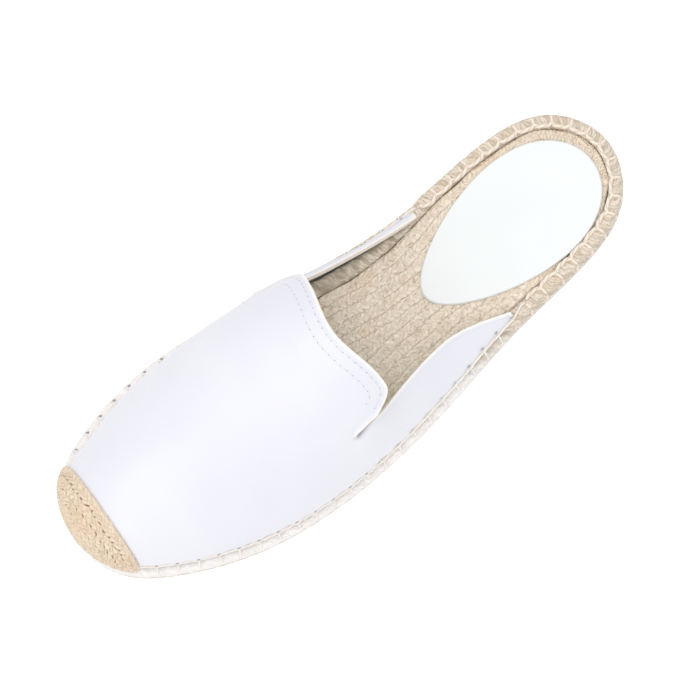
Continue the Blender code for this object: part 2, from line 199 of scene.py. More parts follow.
# Path of a cross thread over the open rim: across its top, round the corner and down.
CROSS_PATH = np.array([
    # share  inset  height
    (0.00,   4.6,   18.1),
    (0.12,   4.0,   18.4),
    (0.30,   2.4,   18.3),
    (0.42,   1.5,   17.5),
    (0.52,   1.0,   16.2),
    (0.68,   0.60,  13.6),
    (0.84,   0.50,  10.6),
    (0.94,   0.9,   9.0),
    (1.00,   2.0,   8.3),
])
FOLD_WIDTH = 1.5
FOLD_RISE = 0.42
PUCKER_WIDTH = 1.9
PUCKER_DEPTH = 0.45
SLIT_WING_MOVE = 2.0
SLIT_TAB_LIFT = 0.5
RIM_ROUNDING = 0.55
TAB_ROWS = (2.7, 7.0)
TAB_ROWS_END = 10.0
TAB_STITCH = 3.0
TAB_THREAD_RADIUS = 0.27
TAB_STITCH_ARCH = (-0.16, 0.0, 0.12, 0.16, 0.12, 0.0, -0.16)
# Needle holes and thread shadows, dark lenses of painted shade: radius and stretch.
TAB_HOLE = (0.25, 1.0)
LEATHER_HOLE = (0.7, 1.0)
ROPE_THREAD_SHADOW = (0.45, 1.8)
HOLES_CLEAR_OF_CAP = 3.0
CREASES = [
    # x_from  angle_from  x_to   angle_to  width  depth
    (24.0,    -50.0,      44.0,  -38.0,    4.0,   0.35),
    (23.0,    66.0,       42.0,  52.0,     4.0,   0.30),
    (52.0,    -30.0,      56.0,  24.0,     5.5,   0.22),
    (66.0,    -58.0,      60.0,  -20.0,    5.0,   0.18),
    (64.0,    55.0,       58.0,  22.0,     5.0,   0.16),
    (30.0,    -78.0,      62.0,  -74.0,    5.0,   0.30),
    (12.0,    84.0,       50.0,  80.0,     4.5,   0.25),
]
# Jute: colour of painted shade in the gaps, of dark and of pale fibres, relief from gap to crest,
# width and length of the fibres, and strength of the dark flecks, painted shadows of stray fibres.
JUTES = {
    "bleached": ((0.92, 0.88, 0.84), (0.97, 0.94, 0.91), (1.0, 0.98, 0.96), (0.12, 0.75), (0.35, 7.0), 0.0),
    "rim": ((0.47, 0.38, 0.28), (0.70, 0.60, 0.46), (0.94, 0.86, 0.75), (0.05, 0.6), (0.5, 3.0), 0.6),
    "footbed": ((0.44, 0.32, 0.22), (0.82, 0.70, 0.55), (1.0, 0.90, 0.76), (-0.15, 0.42), (0.7, 3.5), 0.6),
    "woven": ((0.40, 0.25, 0.15), (0.77, 0.60, 0.43), (0.93, 0.80, 0.64), (0.0, 0.52), (0.6, 4.0), 0.3),
}
# Gap colour of painted shade, dark and pale colour that the bleached rope keeps at the heel, and where they
# pass over.
UNBLEACHED = ((0.60, 0.51, 0.41), (0.78, 0.69, 0.57), (0.95, 0.89, 0.80))
BLEACHED_FROM = (-38.0, -5.0)
# Thread: colour of painted shade between its plies, colour on them, and of painted highlight on the fibres.
THREADS = {
    "peach": ((0.68, 0.53, 0.39), (0.95, 0.84, 0.71), (0.97, 0.90, 0.80)),
    "cream": ((0.80, 0.71, 0.61), (0.93, 0.87, 0.79), (0.95, 0.91, 0.85)),
    "bleached": ((0.84, 0.79, 0.73), (0.95, 0.92, 0.88), (0.97, 0.94, 0.90)),
}
# Even finishes: colour and roughness.
EVEN_FINISHES = {
    "leather edge": ((1.0, 0.91, 0.82), 0.6),
    "white stitch thread": ((0.86, 0.86, 0.88), 0.6),
    # The needle hole colours are painted shade of the holes and of the threads' shadows.
    "needle hole": ((0.36, 0.35, 0.38), 0.9),
    "faint painted stitch shade": ((0.50, 0.48, 0.45), 0.9),
}

# ---------------------------------------------------------------- curves of the shoe


def smoothstep(low, high, value):
    """0 before low and 1 past high, with an even ramp between them; high may be the smaller."""
    share = np.clip((value - low) / (high - low), 0.0, 1.0)
    return share * share * (3.0 - 2.0 * share)


def mix(first, second, share):
    """From first to second as share goes from 0 to 1."""
    return first + (second - first) * share


def spread(low, high, share):
    """From low to high as share goes from -1 to 1."""
    return (low + high) / 2.0 + (high - low) / 2.0 * share


def bell(distance, width):
    """1 at no distance, falling off with its square."""
    return np.exp(-(distance / width) ** 2)


def shares(count):
    """Even shares from 0 to 1."""
    return np.linspace(0.0, 1.0, count)


def angles(count):
    """Even angles round a circle."""
    return np.linspace(0.0, TURN, count, endpoint=False)


def stacked(*axes):
    """Coordinates given one by one, spread to one shape, as points."""
    return np.stack(np.broadcast_arrays(*axes), axis=-1)


def unit(vectors):
    """Vectors of length 1."""
    return vectors / np.maximum(np.linalg.norm(vectors, axis=-1, keepdims=True), 1e-9)


def path_length(points, axis=1):
    """Distance along each line of a grid, from its first point."""
    steps = np.linalg.norm(np.diff(points, axis=axis), axis=2)
    start = np.zeros_like(steps.take([0], axis=axis))
    return np.concatenate([start, np.cumsum(steps, axis=axis)], axis=axis)


def column(table, index, x):
    """Column of a table at x: a cubic through its rows, with the slope of their neighbours."""
    rows = np.array(table)
    places, values = rows[:, 0], rows[:, index]
    slopes = np.gradient(values, places)
    row = np.clip(np.searchsorted(places, x) - 1, 0, len(places) - 2)
    span = places[row + 1] - places[row]
    share = np.clip((x - places[row]) / span, 0.0, 1.0)
    leave = slopes[row] * span * share * (1.0 - share) ** 2
    arrive = slopes[row + 1] * span * share * share * (share - 1.0)
    return mix(values[row], values[row + 1], smoothstep(0.0, 1.0, share)) + leave + arrive


def closed_curve(points, steps=60):
    """Dense points on the natural cubic through the given points, closed on itself."""
    knots = np.array(points, dtype=float)
    after = np.roll(knots, -1, axis=0)
    chord = np.linalg.norm(after - knots, axis=1)[:, None]
    before = np.roll(chord, 1, axis=0)
    count = len(knots)
    system = np.diag(2.0 * (before + chord)[:, 0])
    for row in range(count):
        system[row, row - 1] += before[row, 0]
        system[row, (row + 1) % count] += chord[row, 0]
    slope = (after - knots) / chord
    bend = np.linalg.solve(system, 6.0 * (slope - np.roll(slope, 1, axis=0)))
    bend_after = np.roll(bend, -1, axis=0)
    share = (np.arange(steps) / steps)[None, :, None]
    rest = 1.0 - share
    straight = rest * knots[:, None] + share * after[:, None]
    sag = (rest ** 3 - rest) * bend[:, None] + (share ** 3 - share) * bend_after[:, None]
    return (straight + sag * chord[:, None] ** 2 / 6.0).reshape(-1, 2)


def eased(values, steps=60):
    """Values at the outline's places, with an even ramp from each to the next."""
    here = np.array(values)[:, None]
    share = smoothstep(0.0, 1.0, np.arange(steps) / steps)
    return mix(here, np.roll(here, -1, axis=0), share).ravel()


EDGE = closed_curve([row[1:3] for row in OUTLINE])
EDGE_ALONG = unit(np.roll(EDGE, -1, axis=0) - np.roll(EDGE, 1, axis=0))
EDGE_STEPS = np.linalg.norm(np.roll(EDGE, -1, axis=0) - EDGE, axis=1)
EDGE_PLACE = np.concatenate([[0.0], np.cumsum(EDGE_STEPS)])
EDGE_LENGTH = EDGE_PLACE[-1]
EDGE_TIP = EDGE_PLACE[np.argmax(EDGE[:, 0])]

# How far in from EDGE, at each of its points, the leather and the rim's two faces stand.
LEATHER = eased([row[3] for row in OUTLINE])
RIM_OUTER = mix(OPEN_RIM_INSET, LEATHER + RIM_INSIDE_LEATHER, smoothstep(*RIM_RAMP, EDGE[:, 0]))
RIM_INNER = mix(OPEN_RIM_DEPTH, LEATHER + RIM_DEPTH_INSIDE_LEATHER, smoothstep(*RIM_DEPTH_RAMP, EDGE[:, 0]))

# The outline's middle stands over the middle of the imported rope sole, its widest piece.
low_corner, high_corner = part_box("jute_sole")
OUTLINE_MIDDLE = (EDGE.min(axis=0) + EDGE.max(axis=0)) / 2.0
FRAME_MIDDLE = (np.array(low_corner) + np.array(high_corner))[:2] / 2.0 / MM
SHIFT = np.append(FRAME_MIDDLE - OUTLINE_MIDDLE, 0.0)


def on_loop(values, place):
    """Values given at EDGE's points, read at distances round the edge."""
    closed = np.concatenate([values, values[:1]])
    return np.interp(np.mod(place, EDGE_LENGTH), EDGE_PLACE, closed)


def toe_spring(x):
    """Rise of every layer of the sole in front of the ball: the square of the way to the toe."""
    ahead = np.maximum(x - SPRING_START, 0.0) / (SPRING_END - SPRING_START)
    return SPRING_RISE * ahead ** 2


def edge_along(place):
    """Direction of the edge, as x and y, at distances round it."""
    return [on_loop(EDGE_ALONG[:, axis], place) for axis in (0, 1)]


def edge_point(place, inset, height):
    """Point at a distance round the edge of the sole, moved in square to it and lifted."""
    along_x, along_y = edge_along(place)
    x = on_loop(EDGE[:, 0], place) + along_y * inset
    y = on_loop(EDGE[:, 1], place) - along_x * inset
    return stacked(x, y, height + toe_spring(x))


def edge_loop(inset):
    """EDGE moved in by inset, one number or one for each of its points."""
    inward = np.stack([EDGE_ALONG[:, 1], -EDGE_ALONG[:, 0]], axis=1)
    return EDGE + inward * np.reshape(inset, (-1, 1))


def side_lines(x, inset):
    """y at x of the outer and the inner side of the loop that lies in by inset."""
    loop = edge_loop(inset)
    heel, tip = int(np.argmin(loop[:, 0])), int(np.argmax(loop[:, 0]))
    turned = np.roll(loop, -heel, axis=0)
    tip = (tip - heel) % len(loop)
    outer, inner = turned[: tip + 1], np.vstack([turned[tip:], turned[:1]])[::-1]
    return np.interp(x, outer[:, 0], outer[:, 1]), np.interp(x, inner[:, 0], inner[:, 1])


def shoulder_rise(x):
    """Lift of the feather line where the leather lies on the rim, behind the foot's waist."""
    return SHOULDER_LIFT * (1.0 - smoothstep(*SKIRT_RAMP, x))


def skirt_depth(x):
    """How far the leather hangs below its feather line."""
    return mix(SKIRT_SHORT, SKIRT_DEPTH, smoothstep(*SKIRT_RAMP, x))


def upper_point(x, angle, lift=0.0):
    """Point on the outside of the upper, grown by lift.

    Across the shoe it is half an ellipse with a power for each side: y goes with the sine of
    the angle and z with the cosine raised to 2 / power. The angle is 0 on the ridge, -90 on
    the outer and 90 on the inner feather line, and past 90 it runs straight down the skirt.
    """
    y_outer, y_inner = side_lines(x, LEATHER - lift)
    tip = edge_loop(LEATHER - lift)[:, 0].max()
    crest = mix(y_outer, y_inner, column(LAST, 2, x))
    turn = np.radians(np.clip(angle, -90.0, 90.0))
    across = np.sin(turn)
    power = mix(column(LAST, 3, x), column(LAST, 4, x), 0.5 + 0.5 * across)
    reach = np.clip((x - TOE_ROUND_START) / (tip - TOE_ROUND_START), 0.0, 1.0)
    fall = (1.0 - reach ** TOE_FULLNESS) ** (1.0 / TOE_POWER)
    height = column(LAST, 1, x) * fall + lift * np.sqrt(fall)
    rise = np.cos(turn) ** (2.0 / power)
    y = crest + np.where(across < 0.0, crest - y_outer, y_inner - crest) * across
    y = y - column(LAST, 5, x) * np.where(across > 0.0, 4.0 * rise * (1.0 - rise), 0.0)
    drop = np.maximum(np.abs(angle) - 90.0, 0.0) / SKIRT_ANGLE
    base = SHOULDER + shoulder_rise(x) + toe_spring(x)
    return stacked(x, y, base + height * rise - skirt_depth(x) * drop)


def wing_point(side, x, level):
    """Point on a wing, level from 0 at the feather line to 1 at the top edge.

    The wing leaves the last's surface at the slit and passes into a strip that stands up from
    the feather line and leans in to its top edge as a power of the level.
    """
    sign, place = (-1.0, 1) if side == "outer" else (1.0, 3)
    last = upper_point(x, sign * (90.0 - (90.0 - SLIT_ANGLE[side]) * level))
    foot = upper_point(x, sign * 90.0)
    y = mix(foot[..., 1], column(WINGS, place, x), level ** WING_LEAN)
    if side == "inner":
        y = y - column(LAST, 5, x) * 4.0 * level * (1.0 - level)
    z = mix(foot[..., 2], column(WINGS, place + 1, x), 1.0 - (1.0 - level) ** WING_RISE)
    return mix(last, stacked(x, y, z), smoothstep(0.0, WING_BLEND, SLIT_X - x)[..., None])


def tab_edge(share):
    """Place along x of the tab's rear edge, share from -1 outer corner to 1 inner corner.

    A cosine wave makes its two lobes, on a slight slant, and a power rounds the corners.
    """
    wave = np.cos(np.pi * np.minimum(np.abs(share) / TAB_WAVE, 1.0))
    corner = np.maximum(np.abs(share) - TAB_LOBE, 0.0) / (1.0 - TAB_LOBE)
    size = np.where(share < 0.0, TAB_CORNER["outer"], TAB_CORNER["inner"])
    rear = TAB_REAR - TAB_SKEW * share + TAB_DIP * (0.5 + 0.5 * wave)
    return rear + size * corner ** TAB_CORNER_POWER


def tab_point(share, step):
    """Point on the tab, share across from -1 outer to 1 inner, step 0 at the slits' line to 1
    at the rear edge."""
    rear = tab_edge(share)
    y_outer, y_inner = side_lines(rear, LEATHER)
    crest = mix(y_outer, y_inner, column(LAST, 2, rear))
    reach = np.where(share < 0.0, y_outer - crest, crest - y_inner)
    edge_y = spread(*TAB_SIDES, share)
    corner = np.degrees(np.arcsin(np.clip((crest - edge_y) / reach, -0.97, 0.97)))
    across = spread(-SLIT_ANGLE["outer"], SLIT_ANGLE["inner"], share)
    pinch = SLIT_OPENING * np.sin(np.pi * step) * share ** 3
    return upper_point(mix(SLIT_X, rear, step), mix(across, corner, step) - pinch)


# ---------------------------------------------------------------- meshes


def grid_faces(rows, columns, close_rows=False, close_columns=False):
    """Corner numbers of the quads of a grid."""
    row = np.arange(rows if close_rows else rows - 1)[:, None]
    step = np.arange(columns if close_columns else columns - 1)[None, :]
    next_row, next_step = (row + 1) % rows * columns, (step + 1) % columns
    row = row * columns
    return stacked(row + step, row + next_step, next_row + next_step, next_row + step).reshape(-1, 4)


def repeated(quads, count, size):
    """The quads of count copies of a mesh that has size points."""
    return (quads[None] + (np.arange(count) * size)[:, None, None]).reshape(-1, 4)


def join(*parts):
    """Several (points, quads, extra columns per point) as one."""
    points, quads, extras, start = [], [], [], 0
    for part_points, part_quads, part_extra in parts:
        points.append(part_points.reshape(-1, 3))
        quads.append(part_quads + start)
        extras.append(part_extra.reshape(-1, 3))
        start += len(points[-1])
    return np.vstack(points), np.vstack(quads), np.vstack(extras)


def weld(points, quads, extra):
    """Points that share a place become one."""
    rounded = np.round(points, 3)
    _, first, index = np.unique(rounded, axis=0, return_index=True, return_inverse=True)
    return points[first], index.reshape(-1)[quads], extra[first]


def vertex_normals(points, quads):
    """Mean of the faces' normals at each point, from the cross product of their diagonals."""
    ring = points[quads]
    normal = np.cross(ring[:, 2] - ring[:, 0], ring[:, 3] - ring[:, 1])
    total = np.zeros_like(points)
    for corner in range(4):
        np.add.at(total, quads[:, corner], normal)
    return unit(total)


def nearest(points, targets):
    """Number of the target that lies nearest to each point, and the distance to it."""
    number, square = [], []
    for part in np.array_split(points, max(1, len(points) // 4000)):
        squares = ((part[:, None] - targets[None]) ** 2).sum(axis=2)
        number.append(squares.argmin(axis=1))
        square.append(squares.min(axis=1))
    return np.concatenate(number), np.sqrt(np.concatenate(square))


def new_object(name, data):
    """An object in the scene."""
    made = bpy.data.objects.new(name, data)
    bpy.context.scene.collection.objects.link(made)
    return made


def set_all(thing, **settings):
    """Settings of a thing, by their names."""
    for name, value in settings.items():
        setattr(thing, name, value)


def make_piece(name, shape, materials, slot, node=None):
    """A piece from (points, quads, extra); extra holds strand_u, strand_v and relief (painted light on
    leather).
    """
    points, quads, extra = weld(*join(shape))
    faces = [list(dict.fromkeys(ring)) for ring in quads.tolist()]
    faces = [ring for ring in faces if len(ring) > 2]
    mesh = bpy.data.meshes.new(name)
    mesh.from_pydata(((points + SHIFT) * MM).tolist(), [], faces)
    corners = np.zeros(len(mesh.loops), dtype=np.int32)
    mesh.loops.foreach_get("vertex_index", corners)
    strand = mesh.uv_layers.new(name="strand")
    strand.data.foreach_set("uv", extra[corners, :2].astype(np.float32).ravel())
    # Relief column; on the leather it carries painted shade and highlight.
    relief = mesh.attributes.new("relief", "FLOAT", "POINT")
    relief.data.foreach_set("value", extra[:, 2].astype(np.float32))
    builder = bmesh.new()
    builder.from_mesh(mesh)
    bmesh.ops.recalc_face_normals(builder, faces=builder.faces)
    builder.to_mesh(mesh)
    builder.free()
    for material in materials:
        mesh.materials.append(material)
    mesh.shade_smooth()
    piece = new_object(name, mesh)
    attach(piece, "root")
    if node:
        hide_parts(node)
    return piece


def plain(points):
    """Extra columns for a piece whose finish reads only Object coordinates."""
    extra = np.zeros((points.size // 3, 3))
    extra[:, 2] = 1.0
    return extra


def tubes(paths, reference, thickness, sides, twist=0.0):
    """Round tubes, one for each path, with a point at both ends.

    At each point of a path a circle stands square to it: centre + radius * (cosine * side +
    sine * up), where side is square to the path and to the reference direction. Two plies
    wind round it once in every twist millimetres.
    """
    radius = np.full(paths.shape[:2], thickness)
    radius[:, [0, -1]] = 0.0
    along = unit(np.gradient(paths, axis=1))
    side = unit(np.cross(along, reference))
    up = np.cross(side, along)
    turn = angles(sides)
    length = path_length(paths)[..., None]
    ply = np.abs(np.sin(turn - np.pi * length / twist)) if twist else np.zeros(sides)
    size = radius[..., None] * (0.86 + 0.2 * ply if twist else 1.0)
    circle = np.cos(turn)[:, None] * side[:, :, None] + np.sin(turn)[:, None] * up[:, :, None]
    points = paths[:, :, None] + size[..., None] * circle
    extra = stacked(turn, length, ply)
    quads = grid_faces(paths.shape[1], sides, close_columns=True)
    return points, repeated(quads, len(paths), paths.shape[1] * sides), extra


# ---------------------------------------------------------------- jute


def signed_power(value, power):
    """The size of the value raised to a power, with its own sign."""
    return np.sign(value) * np.abs(value) ** power


def rope_ring(inset, height, half_width, half_height, roundness, rope, turn_sign):
    """A twisted rope round the edge of the sole, as a closed ring.

    Its section is a superellipse, cosine and sine raised to roundness, and its yarns stand
    out as half circles along a helix: phase = yarns * turn / 360 - distance / spacing, which
    wanders by slow sines. Some yarns stand prouder than others, by a sine of their number.
    """
    (steps, sides), yarns, spacing, rise = rope
    place = np.linspace(0.0, EDGE_LENGTH, steps, endpoint=False)[:, None]
    turn = angles(sides)[None, :] + np.pi
    if np.ndim(inset):
        inset, half_width = on_loop(inset, place), on_loop(half_width, place)
    count = round(EDGE_LENGTH / spacing)
    wander = 0.5 * np.sin(place * 0.21) + 0.3 * np.sin(place * 0.083 + 1.0)
    wander = wander + 0.22 * np.sin(place * 0.9 + 2.0 * turn) + 0.2 * np.sin(place * 0.53 - turn)
    wander = wander * smoothstep(0.0, 20.0, place) * smoothstep(0.0, 20.0, EDGE_LENGTH - place)
    phase = turn_sign * yarns * turn / TURN - place * count / EDGE_LENGTH + wander
    bump = np.sqrt(np.maximum(1.0 - (2.0 * np.mod(phase, 1.0) - 1.0) ** 2, 0.0))
    fibre = 0.5 + 0.5 * np.sin(3.0 * TURN * phase)
    proud = 0.75 + 0.35 * np.sin(TURN * round(0.38 * count) / count * np.floor(phase))
    out = rise * (bump * proud - 0.8) + 0.06 * fibre * bump
    across = (half_width + out) * signed_power(np.cos(turn), roundness)
    up = (half_height + out) * signed_power(np.sin(turn), roundness)
    points = edge_point(place, inset - across, height + up)
    strand_v = place + turn_sign * turn * (half_width + half_height) / 2.0
    return points, grid_faces(steps, sides, True, True), stacked(phase * spacing, strand_v, bump * proud)


def plait(along, across, size):
    """Relief of rows of three-strand plait.

    In each row a strand swings across as the sine of the way along and dips as the sine of
    twice that, a third of a turn apart from the next. The surface is the highest of the round
    backs of this row's and its neighbours' strands, with a groove where two of them meet.
    Returns the height share, about 0 in the gaps and 1 on top, and the coordinates across and
    along the strands for the fibres.
    """
    row, pitch, swing, dip, radius = size
    number = np.floor(across / row)
    best = np.full(along.shape, -dip)
    second = best.copy()
    strand_u = np.zeros(along.shape)
    for strand in range(9):
        place = number + strand // 3 - 1
        turn = TURN * (along / pitch + strand / 3.0 + PLAIT_TURN * place)
        slope = TURN * swing / pitch * np.cos(turn)
        offset = across - (place + 0.5) * row - swing * np.sin(turn)
        reach = offset / np.sqrt(1.0 + slope * slope)
        back = np.sqrt(np.maximum(radius ** 2 - reach * reach, 0.0))
        height = np.where(back > 0.0, dip * np.sin(2.0 * turn) + back, -dip)
        higher = height > best
        second = np.where(higher, best, np.maximum(second, height))
        best = np.where(higher, height, best)
        strand_u = np.where(higher, reach + 5.0 * (strand % 3) + 20.0 * place, strand_u)
    share = np.clip((best + 0.3 * radius) / (1.2 * radius + dip), 0.0, 1.0)
    share *= 0.5 + 0.5 * smoothstep(0.0, 0.45 * radius, best - second)
    return share, np.stack([strand_u, along, share], axis=-1)


def outline_rows(inset, places):
    """Rows across the filled outline: x of each, and y of its outer and inner ends.

    places are shares from heel to toe, crowded at both ends by the cosine.
    """
    reach = edge_loop(inset)[:, 0]
    x = spread(reach.min(), reach.max(), -np.cos(np.pi * places))[:, None]
    return x, *side_lines(x, inset)


def filled_outline(inset, places, columns):
    """A grid over the outline: x and ends of its rows, y of its points, and how far in from
    the outline each of them lies and its place round the edge.

    The last two come from the nearest point of the outline, moved on along its tangent.
    """
    x, y_outer, y_inner = outline_rows(inset, places)
    y = mix(y_outer, y_inner, shares(columns)[None, :])
    plan = stacked(x, y)
    loop = edge_loop(inset)
    near = nearest(plan.reshape(-1, 2), loop)[0].reshape(y.shape)
    gap, along = plan - loop[near], EDGE_ALONG[near]
    distance = gap[..., 0] * along[..., 1] - gap[..., 1] * along[..., 0]
    return x, y_outer, y_inner, y, distance, EDGE_PLACE[near] + (gap * along).sum(axis=-1)


def closed_grid(points):
    """A shape from a grid of points whose last column meets the first."""
    return points, grid_faces(*points.shape[:2], close_columns=True), plain(points)


def closed_sheet(x, rows):
    """A grid closed round the rows given as (y, height), lifted by the toe's rise."""
    return closed_grid(np.hstack([stacked(x, y, height + toe_spring(x)) for y, height in rows]))


def insole_shape():
    """The footbed: rows of plait that follow the outline inwards, like a wound coil."""
    uneven = 0.25 * np.sin(EDGE_PLACE[:-1] * 0.31) * np.sin(EDGE_PLACE[:-1] * 0.071)
    places = np.concatenate([np.linspace(0.0, 0.6, 450), np.linspace(0.6, 1.0, 40)[1:]])
    grid = filled_outline(RIM_INNER + INSOLE_CLEAR + uneven, places, 190)
    x, y_outer, y_inner, y, distance, place = grid
    across = distance + 0.4 * np.sin(place * 0.13) + 0.2 * np.sin(place * 0.47 + distance)
    along = place + 0.5 * np.sin(place * 0.19 + distance * 0.5) + 0.4 * np.sin(x * 1.3 + y * 0.9)
    height, extra = plait(along, across, INSOLE_PLAIT)
    fall = 0.3 * smoothstep(0.8, 0.0, distance)
    low = LEDGE + SEAT_GAP
    rows = [(y_outer, low), (y, INSOLE_TOP - 0.4 + INSOLE_RELIEF * height - fall), (y_inner, low)]
    extra = np.concatenate([extra[:, :1], extra, extra[:, -1:]], axis=1)
    return *closed_sheet(x, rows)[:2], extra


def outsole_shape():
    """The rubber sheet, with shallow wavy bars underneath inside a plain border."""
    x, y_outer, y_inner, y, distance, _ = filled_outline(RUBBER_INSET, shares(320), 100)
    bars = 0.5 + 0.5 * np.sin(TURN * (x + 2.2 * np.sin(y * 0.42)) / TREAD_PITCH)
    groove = TREAD_DEPTH * smoothstep(0.55, 0.8, bars) * smoothstep(*TREAD_BORDER, distance)
    bevel = RUBBER_BEVEL * smoothstep(0.9, 0.0, distance) ** 2
    wide = y_outer - y_inner
    rounding = 0.35 * wide / np.maximum(wide, 1.0)
    low, high = 1.0, 2.6
    rows = [(y, groove + bevel), (y_inner, low), (y_inner, high), (y_inner + rounding, RUBBER_TOP)]
    rows += [(y_outer - rounding, RUBBER_TOP), (y_outer, high), (y_outer, low)]
    return closed_sheet(x, rows)


def sole_rope_shape():
    """Turns of rope stacked from the rubber to the ledge, on a plain core.

    The side goes in towards the ground with the square of the way down from the ledge.
    """
    low = RUBBER_TOP + SEAT_GAP / 2.0
    tall = (LEDGE + SEAT_GAP / 2.0 - low) / ROPE_ROWS
    half_width = SIDE_ROPE_HALF_WIDTH
    parts = []
    for row in range(ROPE_ROWS):
        middle = low + (row + 0.5) * tall
        inset = half_width + 0.15 + JUTE_TAPER * ((LEDGE - middle) / (LEDGE - RUBBER_TOP)) ** 2
        section = (inset, middle, half_width, tall / 2.0 + 0.08, SIDE_ROPE_ROUNDNESS)
        parts.append(rope_ring(*section, SIDE_ROPE, 1.0 if row % 2 else -1.0))
    x, y_outer, y_inner = outline_rows(SOLE_CORE_INSET, shares(60))
    rows = [(y_outer, low), (y_outer, LEDGE), (y_inner, LEDGE), (y_inner, low)]
    points, quads, extra = closed_sheet(x, rows)
    return join(*parts, (points, quads, 0.3 * extra))


def rim_shape():
    """The top turn of rope, a ring around the insole, with painted shade in patches under the wings."""
    middle, half_width = (RIM_OUTER + RIM_INNER) / 2.0, (RIM_INNER - RIM_OUTER) / 2.0
    low = LEDGE + SEAT_GAP
    half_height = (RIM_TOP - low) / 2.0
    section = (middle, low + half_height, half_width, half_height, RIM_ROUNDNESS)
    points, quads, extra = rope_ring(*section, RIM_ROPE, 1.0)
    x, y, z = np.moveaxis(points, -1, 0)
    # Painted shade under the wings, in uneven patches, lowering the column that the jute's colour reads.
    under = smoothstep(-58.0, -40.0, x)
    patch = np.sin(0.9 * x + 2.0 * np.sin(0.33 * x)) * np.sin(1.9 * z + 0.9 * y + 0.5 * x)
    extra[..., 2] *= 1.0 - under * (0.35 + 0.6 * patch)
    return points, quads, extra


# ---------------------------------------------------------------- cap


def cap_grid():
    """The upper's own surface grown outwards, from the cap's rear edge to the toe's tip."""
    lift = CAP_CLEAR + CAP_THICK - 0.4
    tip = edge_loop(LEATHER - lift)[:, 0].max()
    side = np.linspace(90.0, 90.0 + SKIRT_ANGLE, 14)[1:]
    turn = np.concatenate([-side[::-1], np.linspace(-90.0, 90.0, 281), side])[None, :]
    rear = CAP_REAR - CAP_SKEW * np.sin(np.radians(np.clip(turn, -90.0, 90.0)))
    x = tip - (tip - rear) * np.linspace(1.0, 0.0, 152)[:, None] ** 2
    return upper_point(x, turn, lift)


def cap_shape():
    """The woven cap: plaited rows in relief on the cap's grid.

    Rows lie parallel to the rear edge, by the distance along the surface from it, and grow
    flatter away from it. Small holes of uneven size open between two rows, one at each loop.
    The rear edge bends down on to the leather.
    """
    points = cap_grid()
    quads = grid_faces(*points.shape[:2])
    v, u = path_length(points, 0), path_length(points)
    u = u - u[:, points.shape[1] // 2][:, None]
    across = v + 0.3 * np.sin(u * 0.35 + v * 0.4) + 0.25 * np.sin(u * 0.93)
    along = u + 0.6 * np.sin(v * 0.9) + 0.45 * np.sin(u * 0.6 + v * 1.7)
    height, extra = plait(along, across, CAP_PLAIT)
    flat = smoothstep(7.0, 15.0, v)
    height = height + (0.8 - height) * 0.35 * flat
    row, pitch = CAP_PLAIT[:2]
    line = np.round(across / row)
    near_row = np.abs(across / row - line) * row
    loop = along / (pitch / 3.0) + PLAIT_TURN * line
    near_hole = np.abs(np.mod(loop, 1.0) - 0.5)
    wide = 0.24 + 0.18 * np.sin(u * 1.3 + 2.0 * v) * np.sin(u * 0.41 - v)
    hole = smoothstep(0.65, 0.25, near_row) * smoothstep(wide, 0.3 * wide, near_hole)
    hole = hole * (line > 0.5) * (1.0 - 0.5 * flat)
    border = np.exp(-v / 0.9)
    height = mix(height, 0.75, border)
    # This column gives the holes and gaps the woven jute's painted shade colour.
    extra[..., 2] = height * (1.0 - hole)
    out = CAP_RELIEF * height - CAP_HOLE_DEPTH * hole - 0.1 - CAP_EDGE_BEND * border
    cloud = points.reshape(-1, 3)
    normal = vertex_normals(cloud, quads)
    if ((cloud - cloud.mean(axis=0)) * normal).sum() < 0.0:
        normal = -normal
    points = points + out[..., None] * normal.reshape(points.shape)
    points[..., 0] -= 0.25 * (np.abs(np.sin(np.pi * loop[:1])) - 0.5) * border
    return points, quads, extra


# ---------------------------------------------------------------- heel pad


def pad_shape():
    """The sock pad: an egg in plan, cos and sin with a narrower front, with a rolled edge."""
    front, back = np.array(PAD_FRONT), np.array(PAD_BACK)
    middle, half = (front + back) / 2.0, (front - back) / 2.0
    length = np.linalg.norm(half)
    along = half / length
    across = np.array([-along[1], along[0]])
    turn = angles(220)[None, :]
    roll = shares(12)
    rise = np.concatenate([np.zeros(2), 0.5 - 0.5 * np.cos(np.pi * roll), np.ones(26)])[:, None]
    rolled, flat = PAD_ROLL * roll ** 2 / length, np.linspace(0.03, 1.0, 26)
    shrink = np.concatenate([[1.0, 0.02], rolled, flat])[:, None]
    reach = length * np.cos(turn) * (1.0 - shrink)
    width = PAD_WIDTH / 2.0 * np.sin(turn) * (1.0 - PAD_SKEW * np.cos(turn)) * (1.0 - shrink)
    plan = middle + reach[..., None] * along - width[..., None] * across
    x, y = np.moveaxis(plan, -1, 0)
    hollow = PAD_HOLLOW * smoothstep(0.1, 0.8, shrink) * rise
    wave = 0.12 * np.sin(x * 0.13) * np.sin(y * 0.17) * rise
    low = INSOLE_TOP + SEAT_GAP
    z = low + (PAD_THICK - 0.1) * rise - hollow + wave * smoothstep(0.03, 0.15, shrink)
    return closed_grid(stacked(x, y, z))


# ---------------------------------------------------------------- leather upper


def crowd(count):
    """Shares from -1 to 1, closer together at the ends, by the sine."""
    end = np.radians(70.0)
    return np.sin(np.linspace(-end, end, count)) / np.sin(end)


